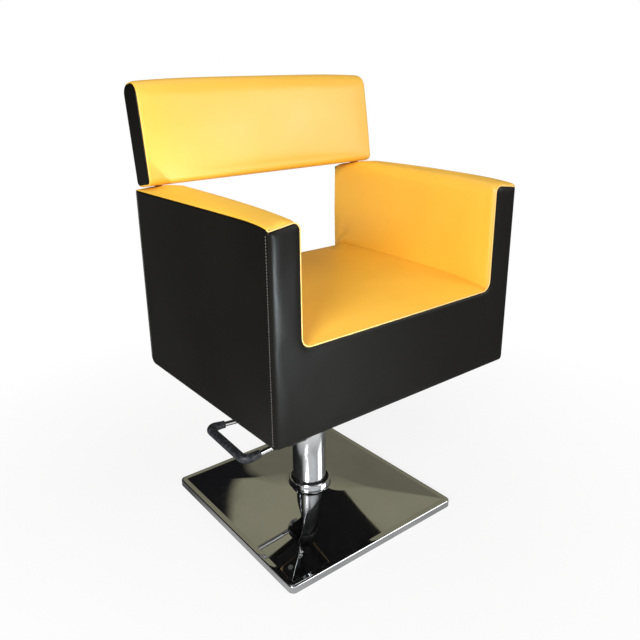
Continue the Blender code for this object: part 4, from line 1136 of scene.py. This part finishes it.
def make_floor():
    """Pale floor with the object's shadow, white farther away; metal sees it darker at the rear,
    and darker near the object, a painted shadow in its reflection.
    """
    mesh = bpy.data.meshes.new("floor")
    reach = 30.0
    corners = [(-reach, -reach, 0), (reach, -reach, 0), (reach, reach, 0), (-reach, reach, 0)]
    mesh.from_pydata(corners, [], [(0, 1, 2, 3)])
    floor = bpy.data.objects.new("floor", mesh)
    bpy.context.scene.collection.objects.link(floor)
    look = Look("floor_paint", Roughness=0.9, Specular_IOR_Level=0.0)
    look.colour(look.mix(look.noise(2.0), (0.86,) * 3, (0.88,) * 3))
    where = look.place()
    away = look.add("VectorMath", {0: where}, "Value", operation="LENGTH")
    heading = look.add("VectorMath", {0: where}, "Vector", operation="NORMALIZE")
    ahead = look.dot(heading, PHOTO_SIDE)
    camera, glossy, through = look.rays()
    seen = look.math("MULTIPLY", look.math("MAXIMUM", camera, through),
                     look.spread(away, 0.5, 1.3, 0.8, 1.0))
    # What glossy rays see of the floor: darker towards the rear, and darker within half a metre of
    # the object, which is a painted shadow of the chair.
    tone = look.math("MULTIPLY", look.spread(ahead, -0.1, 0.5, 0.22, 1.0),
                     look.spread(away, 0.3, 0.5, 0.42, 1.0))
    darker = look.math("MULTIPLY", glossy, look.math("SUBTRACT", 1.0, tone))
    glow = look.add("Emission", {"Strength": look.math("SUBTRACT", 1.0, darker)})
    share = look.math("MAXIMUM", seen, glossy)
    look.blend(share, look.surface.outputs[0], glow, "Material Output")
    mesh.materials.append(look.material)


def make_camera():
    """Camera of the photo, from a fit of the chair's edges."""
    data = bpy.data.cameras.new("photo_camera")
    data.sensor_width = 36.0
    data.lens = 35.258
    data.shift_x = 0.10136
    data.shift_y = -0.04281
    camera = bpy.data.objects.new("photo_camera", data)
    right = Vector((0.82629, -0.56177, -0.0408))
    up = Vector((0.20106, 0.22652, 0.95303))
    back = -Vector((0.52614, 0.79568, -0.30012))
    turn = Matrix((right, up, back)).transposed().to_4x4()
    camera.matrix_world = Matrix.Translation((-0.8458, -1.0677, 0.9672)) @ turn
    bpy.context.scene.collection.objects.link(camera)
    bpy.context.scene.camera = camera


def make_stage():
    make_camera()
    make_world()
    make_floor()
    lamp("key", (-2.1, -1.35, 1.5), (0, 0, 0.65), (0.8, 0.8), 56)
    lamp("window", (1.75, -2.3, 1.5), (0, 0, 0.8), (1.6, 1.6), 34, (1.0, 0.985, 0.96))
    lamp("low_window", (0.25, -2.05, 0.12), (-0.29, -0.30, 0.50), (0.4, 0.3), 0.85,
         (0.86, 0.95, 1.0), spread=20)
    lamp("ceiling", (0.0, 0.2, 3.2), (0, 0, 0), (2.4, 2.4), 12)
    bpy.context.scene.view_settings.view_transform = "Standard"


make_stage()
make_front_panel()
make_rear_panel()
make_side_panel("left", -1)
make_side_panel("right", 1)
make_front_welt()
make_arm_pad("left", -1)
make_arm_pad("right", 1)
make_seat_cushion()
make_back()
make_base()
make_column()
make_pedal()
make_hardware()
